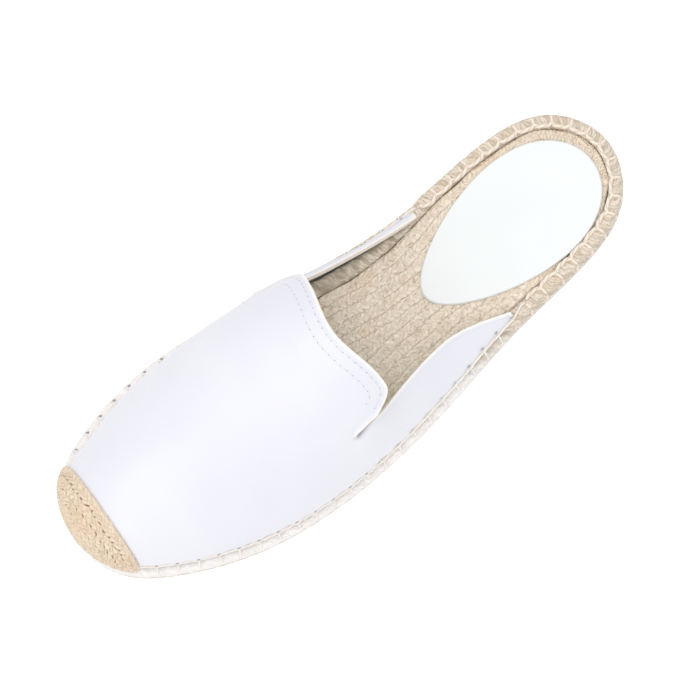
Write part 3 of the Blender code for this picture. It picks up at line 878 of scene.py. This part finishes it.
def upper_sheet():
    """The outside of the leather: forefoot, tab and two wings, welded where they meet.

    The first extra column numbers the patches: 0 forefoot, 1 tab, 2 outer and 3 inner wing.
    Faces of 0 and 3 are wound the other way round than those of 1 and 2.
    """
    low, high = -SLIT_ANGLE["outer"], SLIT_ANGLE["inner"]
    hang = np.linspace(90.0 + SKIRT_ANGLE, 90.0, 6)
    outer = np.concatenate([-hang[:-1], np.linspace(-90.0, low, 28)])
    inner = np.concatenate([np.linspace(high, 90.0, 22), hang[::-1][1:]])
    turn = np.concatenate([outer, spread(low, high, crowd(65))[1:-1], inner])[None, :]
    tip = edge_loop(LEATHER)[:, 0].max()
    x = (tip - (tip - SLIT_X) * np.linspace(1.0, 0.0, 150) ** 2)[:, None]
    patches = [upper_point(x, turn)]
    patches.append(tab_point(crowd(65)[None, :], shares(26)[:, None]))
    for side, start in (("outer", outer), ("inner", inner[::-1])):
        x = np.linspace(SLIT_X, WING_END[side], 84)[:, None]
        level = (90.0 - np.abs(start[5:])) / (90.0 - SLIT_ANGLE[side])
        skirt = upper_point(x, start[None, :5])
        patches.append(np.concatenate([skirt, wing_point(side, x, level[None, :])], axis=1))
    parts = []
    for number, points in enumerate(patches):
        extra = plain(points)
        extra[:, 0] = number
        parts.append((points, grid_faces(*points.shape[:2]), extra))
    return weld(*join(*parts))


def top_edges():
    """The open top edge of the leather as five lines: two wings, their ends and the tab."""
    lines = {}
    for side in ("outer", "inner"):
        x = np.linspace(WING_END[side], SLIT_X, 160)
        lines[side] = wing_point(side, x, np.ones_like(x))
        lines[side + " end"] = wing_point(side, np.full(24, WING_END[side]), shares(24))
    outer = tab_point(np.full(60, -1.0), shares(60))
    inner = tab_point(np.full(60, 1.0), shares(60)[::-1])
    lines["tab"] = np.vstack([outer, tab_point(crowd(240), np.ones(240))[1:-1], inner])
    return lines


def crease_relief(points):
    """Soft creases, each along a line on the leather: a bell across the line, and half of it
    the other way on the far side."""
    relief = np.zeros(len(points))
    for x_from, turn_from, x_to, turn_to, width, depth in CREASES:
        line = upper_point(mix(x_from, x_to, shares(30)), mix(turn_from, turn_to, shares(30)))
        distance = nearest(points, line)[1] / width
        relief += depth * (0.5 * bell(distance - 1.6, 0.8) - bell(distance, 1.0))
    return relief


def stitch_places():
    """Distances round the edge of the blanket stitches."""
    count = round(EDGE_LENGTH / STITCH_SPACING)
    return np.arange(count) * EDGE_LENGTH / count


def thread_line(place):
    """Inset and height of the running thread, and 1 where it lies on the leather."""
    x = on_loop(EDGE[:, 0], place)
    ramps = [smoothstep(*THREAD_RAMP[side], x) for side in ("outer", "inner")]
    covered = np.where(np.mod(place, EDGE_LENGTH) < EDGE_TIP, *ramps)
    leather_edge = SHOULDER + shoulder_rise(x) - skirt_depth(x)
    above = 0.9 + 3.3 * smoothstep(*SKIRT_RAMP, x)
    inset = mix(on_loop(RIM_INNER, place) - 1.0, on_loop(LEATHER, place) - 0.35, covered)
    return inset, mix(RIM_TOP + 0.15, leather_edge + above, covered), covered


def slit_relief(points, patch):
    """Along each slit the tab's edge lifts and the wing's moves against its own normal: under
    the tab on the outer side, out of the shoe on the inner side.

    Both fall off as a bell with the distance from the tab's edge, and fade in behind the
    slit's end and out again where the two edges part. Returns the relief and how much of the
    light the tab takes from the wing, a narrow bell on a wide one.
    """
    relief, shade = np.zeros(len(points)), np.zeros(len(points))
    x = points[:, 0]
    fade = smoothstep(SLIT_X, SLIT_X - 5.0, x) * smoothstep(-2.0, 7.0, x)
    behind = smoothstep(SLIT_X + 0.5, SLIT_X - 2.0, x)
    for side, wing in ((-1.0, 2.0), (1.0, 3.0)):
        distance = nearest(points, tab_point(np.full(60, side), shares(60)))[1]
        relief -= SLIT_WING_MOVE * bell(distance, 1.6) * fade * (patch == wing)
        relief += SLIT_TAB_LIFT * bell(distance, 1.8) * fade * (patch == 1.0)
        # The tab's shadow on the wing, painted into the leather's colour.
        shade += (0.95 * bell(distance, 1.8) + 0.25 * bell(distance, 3.5)) * behind * (patch == wing)
    return relief, np.minimum(shade, 1.0)


def leather_shape():
    """The leather with its folded edges, creases and the puckers round the stitches.

    Relief is along normals that point outwards on the tab and the outer wing, and inwards on
    the forefoot and the inner wing. The third extra column is painted light: 1 on plain leather,
    less for painted shade where the wing's edge lies in the tab's shadow and on the inner wing's
    face behind the slit, and more for a painted highlight along the cut edges.
    """
    points, quads, extra = upper_sheet()
    normal = -vertex_normals(points, quads)
    distance = nearest(points, np.vstack(list(top_edges().values())))[1]
    fold = FOLD_RISE * smoothstep(FOLD_WIDTH + 0.3, FOLD_WIDTH - 0.5, distance)
    fold -= 0.14 * bell(distance - FOLD_WIDTH - 0.4, 0.4)
    places = stitch_places()
    inset, height, covered = thread_line(places)
    stitches = edge_point(places, inset, height + 0.6)[covered > 0.5]
    pucker = -PUCKER_DEPTH * bell(nearest(points, stitches)[1], PUCKER_WIDTH)
    x, y = points[:, 0], points[:, 1]
    wave = 0.1 * np.sin(x * 0.21 + 0.7) * np.sin(y * 0.16) + 0.08 * np.sin(x * 0.09 - y * 0.13)
    free = smoothstep(0.0, 6.0, distance)
    moved, shade = slit_relief(points, extra[:, 0])
    relief = fold + pucker + (crease_relief(points) + wave) * free + moved
    # Painted shade on the inner wing's face behind the slit, and a painted highlight along the cut edges.
    painted_inner_wing_shade = 0.2 * (extra[:, 0] == 3.0) * smoothstep(1.2, 2.2, distance) * smoothstep(18.0, 8.0, x)
    painted_edge_highlight = 0.3 * bell(distance, 0.8) * (shade < 0.2)
    lit = plain(points)
    lit[:, 2] = 1.0 - np.maximum(shade, painted_inner_wing_shade) + painted_edge_highlight
    return points + relief[:, None] * normal, quads, lit


# ---------------------------------------------------------------- threads


def running_thread(on_leather):
    """The thread from stitch to stitch, on the leather or on the open rim.

    On the rim each stitch tugs it out and it bows in between them, by the sine; on the
    leather it follows the edge.
    """
    places = stitch_places()
    span = EDGE_LENGTH / len(places)
    held = thread_line(places + span / 2.0)[2] > 0.5
    first = int(np.argmax(held)) if on_leather else int(np.flatnonzero(held)[-1]) + 1
    count = int((held == on_leather).sum())
    share = (np.arange(12) / 12.0)[None, :]
    place = span * (first + np.arange(count)[:, None] + share)
    inset, height, covered = thread_line(place)
    bow = np.sin(np.pi * share)
    tug = bell(np.minimum(share, 1.0 - share), 0.1)
    inset = inset + mix(0.35 * bow - 0.75 * tug, 0.1 * (bow - 0.5), covered)
    height = height + 0.1 * bow - 0.15 * covered * tug
    path = edge_point(place, inset, height).reshape(1, -1, 3)
    radius = LEATHER_THREAD_RADIUS if on_leather else RIM_THREAD_RADIUS
    return tubes(path, np.array([0.0, 0.0, 1.0]), radius, 10, PLY_LENGTH)


def cross_threads(on_leather):
    """The threads from the running thread out over the rim or the leather's lower edge, down
    the side of the sole and in between its turns of rope."""
    places = stitch_places()[:, None]
    inset, height, covered = thread_line(places)
    share = shares(15)[None, :]
    rim_in, rim_up = [np.interp(share, CROSS_PATH[:, 0], CROSS_PATH[:, axis]) for axis in (1, 2)]
    start = (inset - 0.75 - CROSS_PATH[0, 1]) * (covered < 0.5)
    rim_in = rim_in + start * smoothstep(0.35, 0.0, share)
    out = mix(inset, 0.75, smoothstep(0.0, 0.5, share))
    path_in = mix(rim_in, mix(out, 1.9, smoothstep(0.82, 1.0, share)), covered)
    path_up = mix(rim_up, mix(height, LEDGE - 3.9, share), covered)
    lean = np.random.default_rng(4).normal(0.0, 0.45, places.shape) * share
    path = edge_point(places + lean, path_in, path_up)
    for _ in range(2):
        path[:, 1:-1] = (path[:, :-2] + 2.0 * path[:, 1:-1] + path[:, 2:]) / 4.0
    reference = stacked(*edge_along(places), 0.0)
    kept = (covered[:, 0] > 0.5) == on_leather
    radius = LEATHER_CROSS_RADIUS if on_leather else RIM_CROSS_RADIUS
    return tubes(path[kept], reference[kept], radius, 9, PLY_LENGTH)


def surface_finder(points, quads):
    """A function that drops points on to the leather and gives their places and normals."""
    tree = BVHTree.FromPolygons(points.tolist(), quads.tolist())

    def find(targets):
        hits = [tree.find_nearest(Vector(target)) for target in targets.reshape(-1, 3)]
        return [np.array([hit[part] for hit in hits]).reshape(targets.shape) for part in (0, 1)]
    return find


def even_line(line, spacing):
    """Points at even distances along a line."""
    length = path_length(line[None])[0]
    places = np.arange(0.5 * spacing, length[-1], spacing)
    return np.stack([np.interp(places, length, line[:, axis]) for axis in range(3)], axis=1)


def inside_line(line, distance, toward, find):
    """The line moved over the leather by a distance, to the side that toward points to."""
    along = unit(np.gradient(line, axis=0))
    inward = unit(np.cross(find(line)[1], along))
    inward *= np.sign((inward * toward).sum(axis=1, keepdims=True))
    return find(line + inward * distance)[0]


def slit_turn(side, distance, find):
    """Half a circle on the leather round the front end of a slit."""
    sign = -1.0 if side == "outer" else 1.0
    centre = upper_point(np.array([SLIT_X]), np.array([sign * SLIT_ANGLE[side]]))
    normal = find(centre)[1][0]
    ahead = unit(np.array([1.0, 0.0, 0.0]) - normal * normal[0])
    turn = np.radians(np.linspace(-90.0, 90.0, 30))[:, None]
    wheel = np.cos(turn) * ahead + np.sin(turn) * np.cross(normal, ahead)
    return find(centre + distance * wheel)[0]


def seam_lines(find):
    """The lines of stitches: two rows along the tab's rear edge and a turn round each slit's
    end."""
    edges = top_edges()
    tab = edges["tab"]
    middle = np.array([60.0, 2.0, 35.0])
    cloud = np.vstack([edges[name] for name in ("tab", "outer", "inner")])
    lines = []
    for distance in TAB_ROWS:
        line = inside_line(tab, distance, middle - tab, find)
        clear = nearest(line, cloud)[1] > distance - 0.25
        kept = np.flatnonzero(clear & (tab[:, 0] < TAB_ROWS_END))
        runs = np.split(kept, np.flatnonzero(np.diff(kept) > 6) + 1)
        lines += [line[run] for run in runs if len(run) > 12]
    return lines + [slit_turn(side, TAB_ROWS[0], find) for side in ("outer", "inner")]


def needle_holes(centre, face, size, stretch):
    """Small dark lenses of painted shade on a surface, each a ring between a point above it and one below.
    """
    ring = angles(8)[None, :, None]
    first = unit(np.cross(face, np.array([0.3, 1.0, 0.2]))) * stretch
    second = unit(np.cross(face, first))
    wheel = np.cos(ring) * first[:, None] + np.sin(ring) * second[:, None]
    lens = []
    for share, lift in ((0.0, 0.06), (size, 0.02), (0.0, -0.1)):
        lens.append(centre[:, None] + share * wheel + lift * face[:, None])
    lens = np.stack(lens, axis=1)
    return lens, repeated(grid_faces(3, 8, close_columns=True), len(centre), 24), plain(lens)


def tab_seams(find):
    """Short arched stitches along the seam lines, and needle holes of painted shade between them."""
    knots = [even_line(line, TAB_STITCH) for line in seam_lines(find)]
    starts, ends = np.vstack([row[:-1] for row in knots]), np.vstack([row[1:] for row in knots])
    share = np.linspace(0.13, 0.87, 7)[None, :, None]
    path, normal = find(starts[:, None] + (ends - starts)[:, None] * share)
    arch = np.array(TAB_STITCH_ARCH)[None, :, None]
    stitches = tubes(path + normal * arch, normal, TAB_THREAD_RADIUS, 6)
    return stitches, needle_holes(*find(starts), *TAB_HOLE)


def edge_holes(find):
    """Needle holes of the blanket stitches, dark lenses of painted shade in the leather's lower edge,
    and on the inner side painted shadows of the cross threads on the rope."""
    places = stitch_places()
    inset, height, covered = thread_line(places)
    held = covered > 0.9
    front = CAP_REAR - HOLES_CLEAR_OF_CAP
    edge = edge_point(places, inset + 0.8, height + 1.0)[held]
    centre, face = find(edge[edge[:, 0] < front])
    outward = np.array([0.0, 0.0, 1.0]) * (face[:, 2:] < -0.2)
    # Dark lenses of painted shade at the needle holes in the leather's lower edge.
    in_leather = needle_holes(centre, unit(face + 2.0 * outward), *LEATHER_HOLE)
    # On the inner side, dark lenses of painted shadow where the cross threads enter the rope.
    ledge = edge_point(places + 0.9, 1.5, LEDGE + 0.3)[held & (places > EDGE_TIP)]
    ledge = ledge[ledge[:, 0] < front]
    up = np.broadcast_to(unit(np.array([0.0, -0.3, 1.0])), ledge.shape)
    return join(in_leather, needle_holes(ledge, up, *ROPE_THREAD_SHADOW))


# ---------------------------------------------------------------- materials


def new_material(name, roughness, specular=0.5, sheen=0.0):
    """A material with a Principled shader, and its node tree."""
    material = bpy.data.materials.new(name)
    material.use_nodes = True
    tree = material.node_tree
    shader = tree.nodes["Principled BSDF"]
    shader.inputs["Roughness"].default_value = roughness
    shader.inputs["Specular IOR Level"].default_value = specular
    shader.inputs["Sheen Weight"].default_value = sheen
    return material, tree, shader


def add_node(tree, kind, inputs=None, **settings):
    """A node with its settings, and inputs given as values or as sockets to link."""
    node = tree.nodes.new(kind)
    set_all(node, **settings)
    for name, value in (inputs or {}).items():
        if isinstance(value, bpy.types.NodeSocket):
            tree.links.new(value, node.inputs[name])
        else:
            node.inputs[name].default_value = value
    return node


def colour_mix(tree, share, first, second):
    """Mix of two colours, given as values or sockets."""
    colours = [(*colour, 1.0) if isinstance(colour, tuple) else colour for colour in (first, second)]
    inputs = {0: share, 6: colours[0], 7: colours[1]}
    return add_node(tree, "ShaderNodeMix", inputs, data_type="RGBA").outputs[2]


def in_range(tree, value, low, high, to_low=0.0, to_high=1.0):
    """A value mapped from one range to another, held at the ends."""
    inputs = {"Value": value, "From Min": low, "From Max": high, "To Min": to_low, "To Max": to_high}
    return add_node(tree, "ShaderNodeMapRange", inputs).outputs["Result"]


def noise(tree, vector, scale, detail=3.0, roughness=0.55):
    """Noise at a scale, in turns per unit of the vector."""
    inputs = {"Vector": vector, "Scale": scale, "Detail": detail, "Roughness": roughness}
    return add_node(tree, "ShaderNodeTexNoise", inputs).outputs["Fac"]


def pebbles(tree, vector, scale):
    """Distance from the middle of each cell of a grain."""
    return add_node(tree, "ShaderNodeTexVoronoi", {"Vector": vector, "Scale": scale}).outputs["Distance"]


def mottle(tree, vector, scale, detail, ramp, first, second):
    """Two colours in soft patches."""
    return colour_mix(tree, in_range(tree, noise(tree, vector, scale, detail), *ramp), first, second)


def object_place(tree):
    """Object coordinates, in metres."""
    return add_node(tree, "ShaderNodeTexCoord").outputs["Object"]


def strand_place(tree, width=1.0, length=1.0):
    """Coordinates across and along the strand, in widths and lengths."""
    strand = add_node(tree, "ShaderNodeUVMap", uv_map="strand").outputs["UV"]
    inputs = {"Vector": strand, "Scale": (1.0 / width, 1.0 / length, 1.0)}
    return add_node(tree, "ShaderNodeMapping", inputs).outputs["Vector"]


def relief_value(tree):
    """The piece's third extra column."""
    return add_node(tree, "ShaderNodeAttribute", attribute_name="relief").outputs["Fac"]


def finish(tree, shader, colour, height, strength, distance=0.0002):
    """Colour of a shader, and the bump of a height field on it."""
    tree.links.new(colour, shader.inputs["Base Color"])
    inputs = {"Height": height, "Strength": strength, "Distance": distance}
    node = add_node(tree, "ShaderNodeBump", inputs)
    tree.links.new(node.outputs["Normal"], shader.inputs["Normal"])


def heel_share(tree):
    """1 at the heel and 0 where the rope is bleached, by the way forward and a little out."""
    inputs = {0: object_place(tree), 1: (1.0, 0.6, 0.0)}
    place = add_node(tree, "ShaderNodeVectorMath", inputs, operation="DOT_PRODUCT").outputs["Value"]
    return in_range(tree, place, BLEACHED_FROM[0] * MM, BLEACHED_FROM[1] * MM, 1.0, 0.0)


def jute_material(name, gap, dark, pale, depth, fibre, flecks, heel=None):
    """Jute yarn: pale and dark fibres along the strand, in soft patches, with painted shade in the gaps,
    short dark flecks of painted shadow where stray fibres cast one, and other colours at the heel."""
    material, tree, shader = new_material(name, 0.88, 0.25, 0.15)
    fibres = noise(tree, strand_place(tree, *fibre), 1.0, 4.0, 0.7)
    share = in_range(tree, fibres, 0.3, 0.68)
    warm = (0.93 * dark[0] + 0.1 * pale[0], 0.88 * dark[1] + 0.04, 0.8 * dark[2] + 0.03)
    patches = in_range(tree, noise(tree, object_place(tree), 95.0, 2.0), 0.5, 0.72, 0.0, 0.45)
    colour = colour_mix(tree, patches, colour_mix(tree, share, dark, pale), warm)
    crest = in_range(tree, relief_value(tree), *depth)
    # Painted shade: the gap colour where the relief column is low.
    colour = colour_mix(tree, crest, gap, colour)
    stray = noise(tree, strand_place(tree, 1.0 / 1.3, 2.0), 1.0, 2.0)
    # Painted shadows of stray fibres, as dark flecks of the gap colour.
    colour = colour_mix(tree, in_range(tree, stray, 0.53, 0.62, 0.0, flecks), colour, gap)
    if heel:
        own = colour_mix(tree, crest, heel[0], colour_mix(tree, share, heel[1], heel[2]))
        colour = colour_mix(tree, heel_share(tree), colour, own)
    finish(tree, shader, colour, fibres, 0.7, 0.0004)
    return material


def leather_material():
    """White leather: fine pebble grain, faint cool patches, a soft sheen, painted shade and painted
    highlight.
    """
    material, tree, shader = new_material("white leather", 0.4, 0.4)
    place = object_place(tree)
    colour = mottle(tree, place, 18.0, 2.0, (0.35, 0.65), (0.805, 0.808, 0.86), (0.835, 0.838, 0.88))
    lit = relief_value(tree)
    # Painted shade where lit falls below 1, and a painted highlight where it rises above 1.
    colour = colour_mix(tree, in_range(tree, lit, 0.1, 0.95), (0.26, 0.25, 0.25), colour)
    colour = colour_mix(tree, in_range(tree, lit, 1.02, 1.25), colour, (1.0, 0.96, 0.91))
    grain = {0: pebbles(tree, place, 1100.0), 1: noise(tree, place, 420.0)}
    height = add_node(tree, "ShaderNodeMath", grain, operation="ADD").outputs[0]
    finish(tree, shader, colour, height, 0.12)
    rough = in_range(tree, noise(tree, place, 160.0, 2.0), 0.3, 0.7, 0.38, 0.5)
    tree.links.new(rough, shader.inputs["Roughness"])
    return material


def lining_material():
    """Pale grey-green lining with a fine nap."""
    material, tree, shader = new_material("grey-green lining", 0.8)
    place = object_place(tree)
    colour = mottle(tree, place, 60.0, 2.0, (0.35, 0.65), (0.56, 0.60, 0.56), (0.64, 0.67, 0.63))
    finish(tree, shader, colour, noise(tree, place, 900.0), 0.3)
    return material


def thread_material(name, ply_gap_shade, pale, fibre_highlight):
    """Cotton thread, with painted shade between its plies and a painted highlight where fibres catch the
    light.
    """
    material, tree, shader = new_material(name, 0.75, sheen=0.2)
    fibres = noise(tree, strand_place(tree), 6.0)
    # Painted shade between the plies, and a painted highlight on the fibres below.
    colour = colour_mix(tree, in_range(tree, relief_value(tree), 0.1, 0.6), ply_gap_shade, pale)
    colour = colour_mix(tree, in_range(tree, fibres, 0.4, 0.7, 0.0, 0.4), colour, fibre_highlight)
    finish(tree, shader, colour, fibres, 0.4)
    return material


def sock_material():
    """Smooth white sock leather with the faintest cool tint."""
    material, tree, shader = new_material("white sock", 0.5)
    place = object_place(tree)
    colour = mottle(tree, place, 25.0, 2.0, (0.35, 0.65), (0.87, 0.89, 0.88), (0.895, 0.915, 0.91))
    finish(tree, shader, colour, pebbles(tree, place, 900.0), 0.12)
    return material


def rubber_material():
    """Cream crepe rubber, slightly mottled."""
    material, tree, shader = new_material("cream rubber", 0.7)
    place = object_place(tree)
    colour = mottle(tree, place, 260.0, 4.0, (0.35, 0.7), (0.66, 0.58, 0.46), (0.76, 0.70, 0.60))
    finish(tree, shader, colour, noise(tree, place, 1500.0, 2.0), 0.25)
    return material


def even_material(name, colour, roughness):
    """An even colour, broken up a little by noise."""
    material, tree, shader = new_material(name, roughness)
    darker = tuple(0.9 * value for value in colour)
    mixed = mottle(tree, object_place(tree), 700.0, 2.0, (0.3, 0.7), darker, colour)
    tree.links.new(mixed, shader.inputs["Base Color"])
    return material


# ---------------------------------------------------------------- pieces


def add_wall(piece, thickness, rim_material=0):
    """A wall inwards from the piece's surface."""
    wall = piece.modifiers.new("wall", "SOLIDIFY")
    set_all(wall, thickness=thickness * MM, offset=-1.0, use_rim=True)
    set_all(wall, material_offset=1, material_offset_rim=rim_material)


def round_rims(piece, width):
    """The sharp edges of the piece's wall, rounded."""
    rim = piece.modifiers.new("rim", "BEVEL")
    set_all(rim, width=width * MM, segments=3, limit_method="ANGLE", angle_limit=np.radians(60.0))


def make_shoe():
    """Every piece of the shoe, from the ground up."""
    heel = {"bleached": UNBLEACHED}
    jute = {name: jute_material(name + " jute", *look, heel.get(name)) for name, look in JUTES.items()}
    thread = {name: thread_material(name + " thread", *look) for name, look in THREADS.items()}
    even = {name: even_material(name, *look) for name, look in EVEN_FINISHES.items()}
    leather = leather_shape()
    find = surface_finder(*leather[:2])
    stitches, holes = tab_seams(find)
    hide = [leather_material(), lining_material(), even["leather edge"]]
    pieces = [
        # name, shape, materials, slot and the CAD node that it stands for
        ("outsole_rubber", outsole_shape(), [rubber_material()], "rubber", "outsole"),
        ("sole_rope", sole_rope_shape(), [jute["bleached"]], "sole_rope", "jute_sole"),
        ("rim_braid", rim_shape(), [jute["rim"]], "rim_rope", "rim_rope"),
        ("insole_braid", insole_shape(), [jute["footbed"]], "insole_rope", "insole"),
        ("heel_sock", pad_shape(), [sock_material()], "sock", "heel_pad"),
        ("leather_upper", leather, hide, "leather", "upper"),
        ("woven_cap", cap_shape(), [jute["woven"]] * 2, "woven_jute", "toe_cap"),
        ("rim_running_thread", running_thread(False), [thread["peach"]], "rim_rope"),
        ("rim_cross_threads", cross_threads(False), [thread["peach"]], "rim_rope"),
        ("edge_running_thread", running_thread(True), [thread["cream"]], "rim_rope"),
        ("edge_cross_threads", cross_threads(True), [thread["bleached"]], "rim_rope"),
        ("tab_stitches", stitches, [even["white stitch thread"]], "leather"),
        # Needle holes and thread shadows are dark lenses of painted shade.
        ("tab_needle_holes", holes, [even["needle hole"]], "leather"),
        ("edge_stitch_shade_marks", edge_holes(find), [even["faint painted stitch shade"]], "rim_rope"),
    ]
    made = {row[0]: make_piece(*row) for row in pieces}
    add_wall(made["leather_upper"], LEATHER_THICK, 2)
    round_rims(made["leather_upper"], RIM_ROUNDING)
    add_wall(made["woven_cap"], CAP_WALL)


# ---------------------------------------------------------------- studio


def make_floor():
    """A wide pale floor that glows a little, just under the shoe."""
    mesh = bpy.data.meshes.new("floor")
    half, level = 3.0, -0.0002
    corners = [(-half, -half, level), (half, -half, level), (half, half, level), (-half, half, level)]
    mesh.from_pydata(corners, [], [(0, 1, 2, 3)])
    floor = new_object("floor", mesh)
    material, _, shader = new_material("white floor", 0.9, 0.1)
    shader.inputs["Base Color"].default_value = (0.32, 0.32, 0.32, 1.0)
    shader.inputs["Emission Color"].default_value = (1.0, 1.0, 1.0, 1.0)
    shader.inputs["Emission Strength"].default_value = 0.84
    mesh.materials.append(material)


def make_lights():
    """White surroundings, a large soft light above and a weaker one at the toe."""
    world = bpy.data.worlds.new("studio")
    bpy.context.scene.world = world
    world.use_nodes = True
    sky = world.node_tree.nodes["Background"]
    sky.inputs["Color"].default_value = (0.98, 0.985, 1.0, 1.0)
    sky.inputs["Strength"].default_value = 0.70
    lights = [
        # name          place                 size  power
        ("top softbox", (0.05, -0.05, 1.5),   1.0,  8.3),
        ("toe softbox", (1.1, 0.5, 0.9),      0.9,  3.1),
    ]
    for name, place, size, power in lights:
        light = bpy.data.lights.new(name, "AREA")
        set_all(light, shape="SQUARE", size=size, energy=power)
        turn = (-Vector(place)).to_track_quat("-Z", "Y").to_euler()
        set_all(new_object(name, light), location=place, rotation_euler=turn)


def make_camera():
    """A long lens from nearly straight above, leaning back over the outer side of the toe."""
    azimuth, elevation, roll = np.radians([144.0, 77.5, -1.8])
    toward = Vector((
        np.sin(azimuth) * np.cos(elevation),
        -np.cos(azimuth) * np.cos(elevation),
        np.sin(elevation),
    ))
    distance, view_width = 2.4, 0.260
    data = bpy.data.cameras.new("camera")
    data.sensor_width = 36.0
    data.lens = data.sensor_width * distance / view_width
    low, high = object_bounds()
    target = (Vector(low) + Vector(high)) / 2.0 + Vector((0.9, -0.15, 0.0)) * MM
    target.z = LEDGE * 1.5 * MM
    turn = (-toward).to_track_quat("-Z", "Y") @ Quaternion((0.0, 0.0, 1.0), roll)
    camera = new_object("camera", data)
    set_all(camera, location=target + toward * distance, rotation_euler=turn.to_euler())
    bpy.context.scene.camera = camera


make_camera()
make_shoe()
make_floor()
make_lights()
bpy.context.scene.view_settings.view_transform = "Standard"
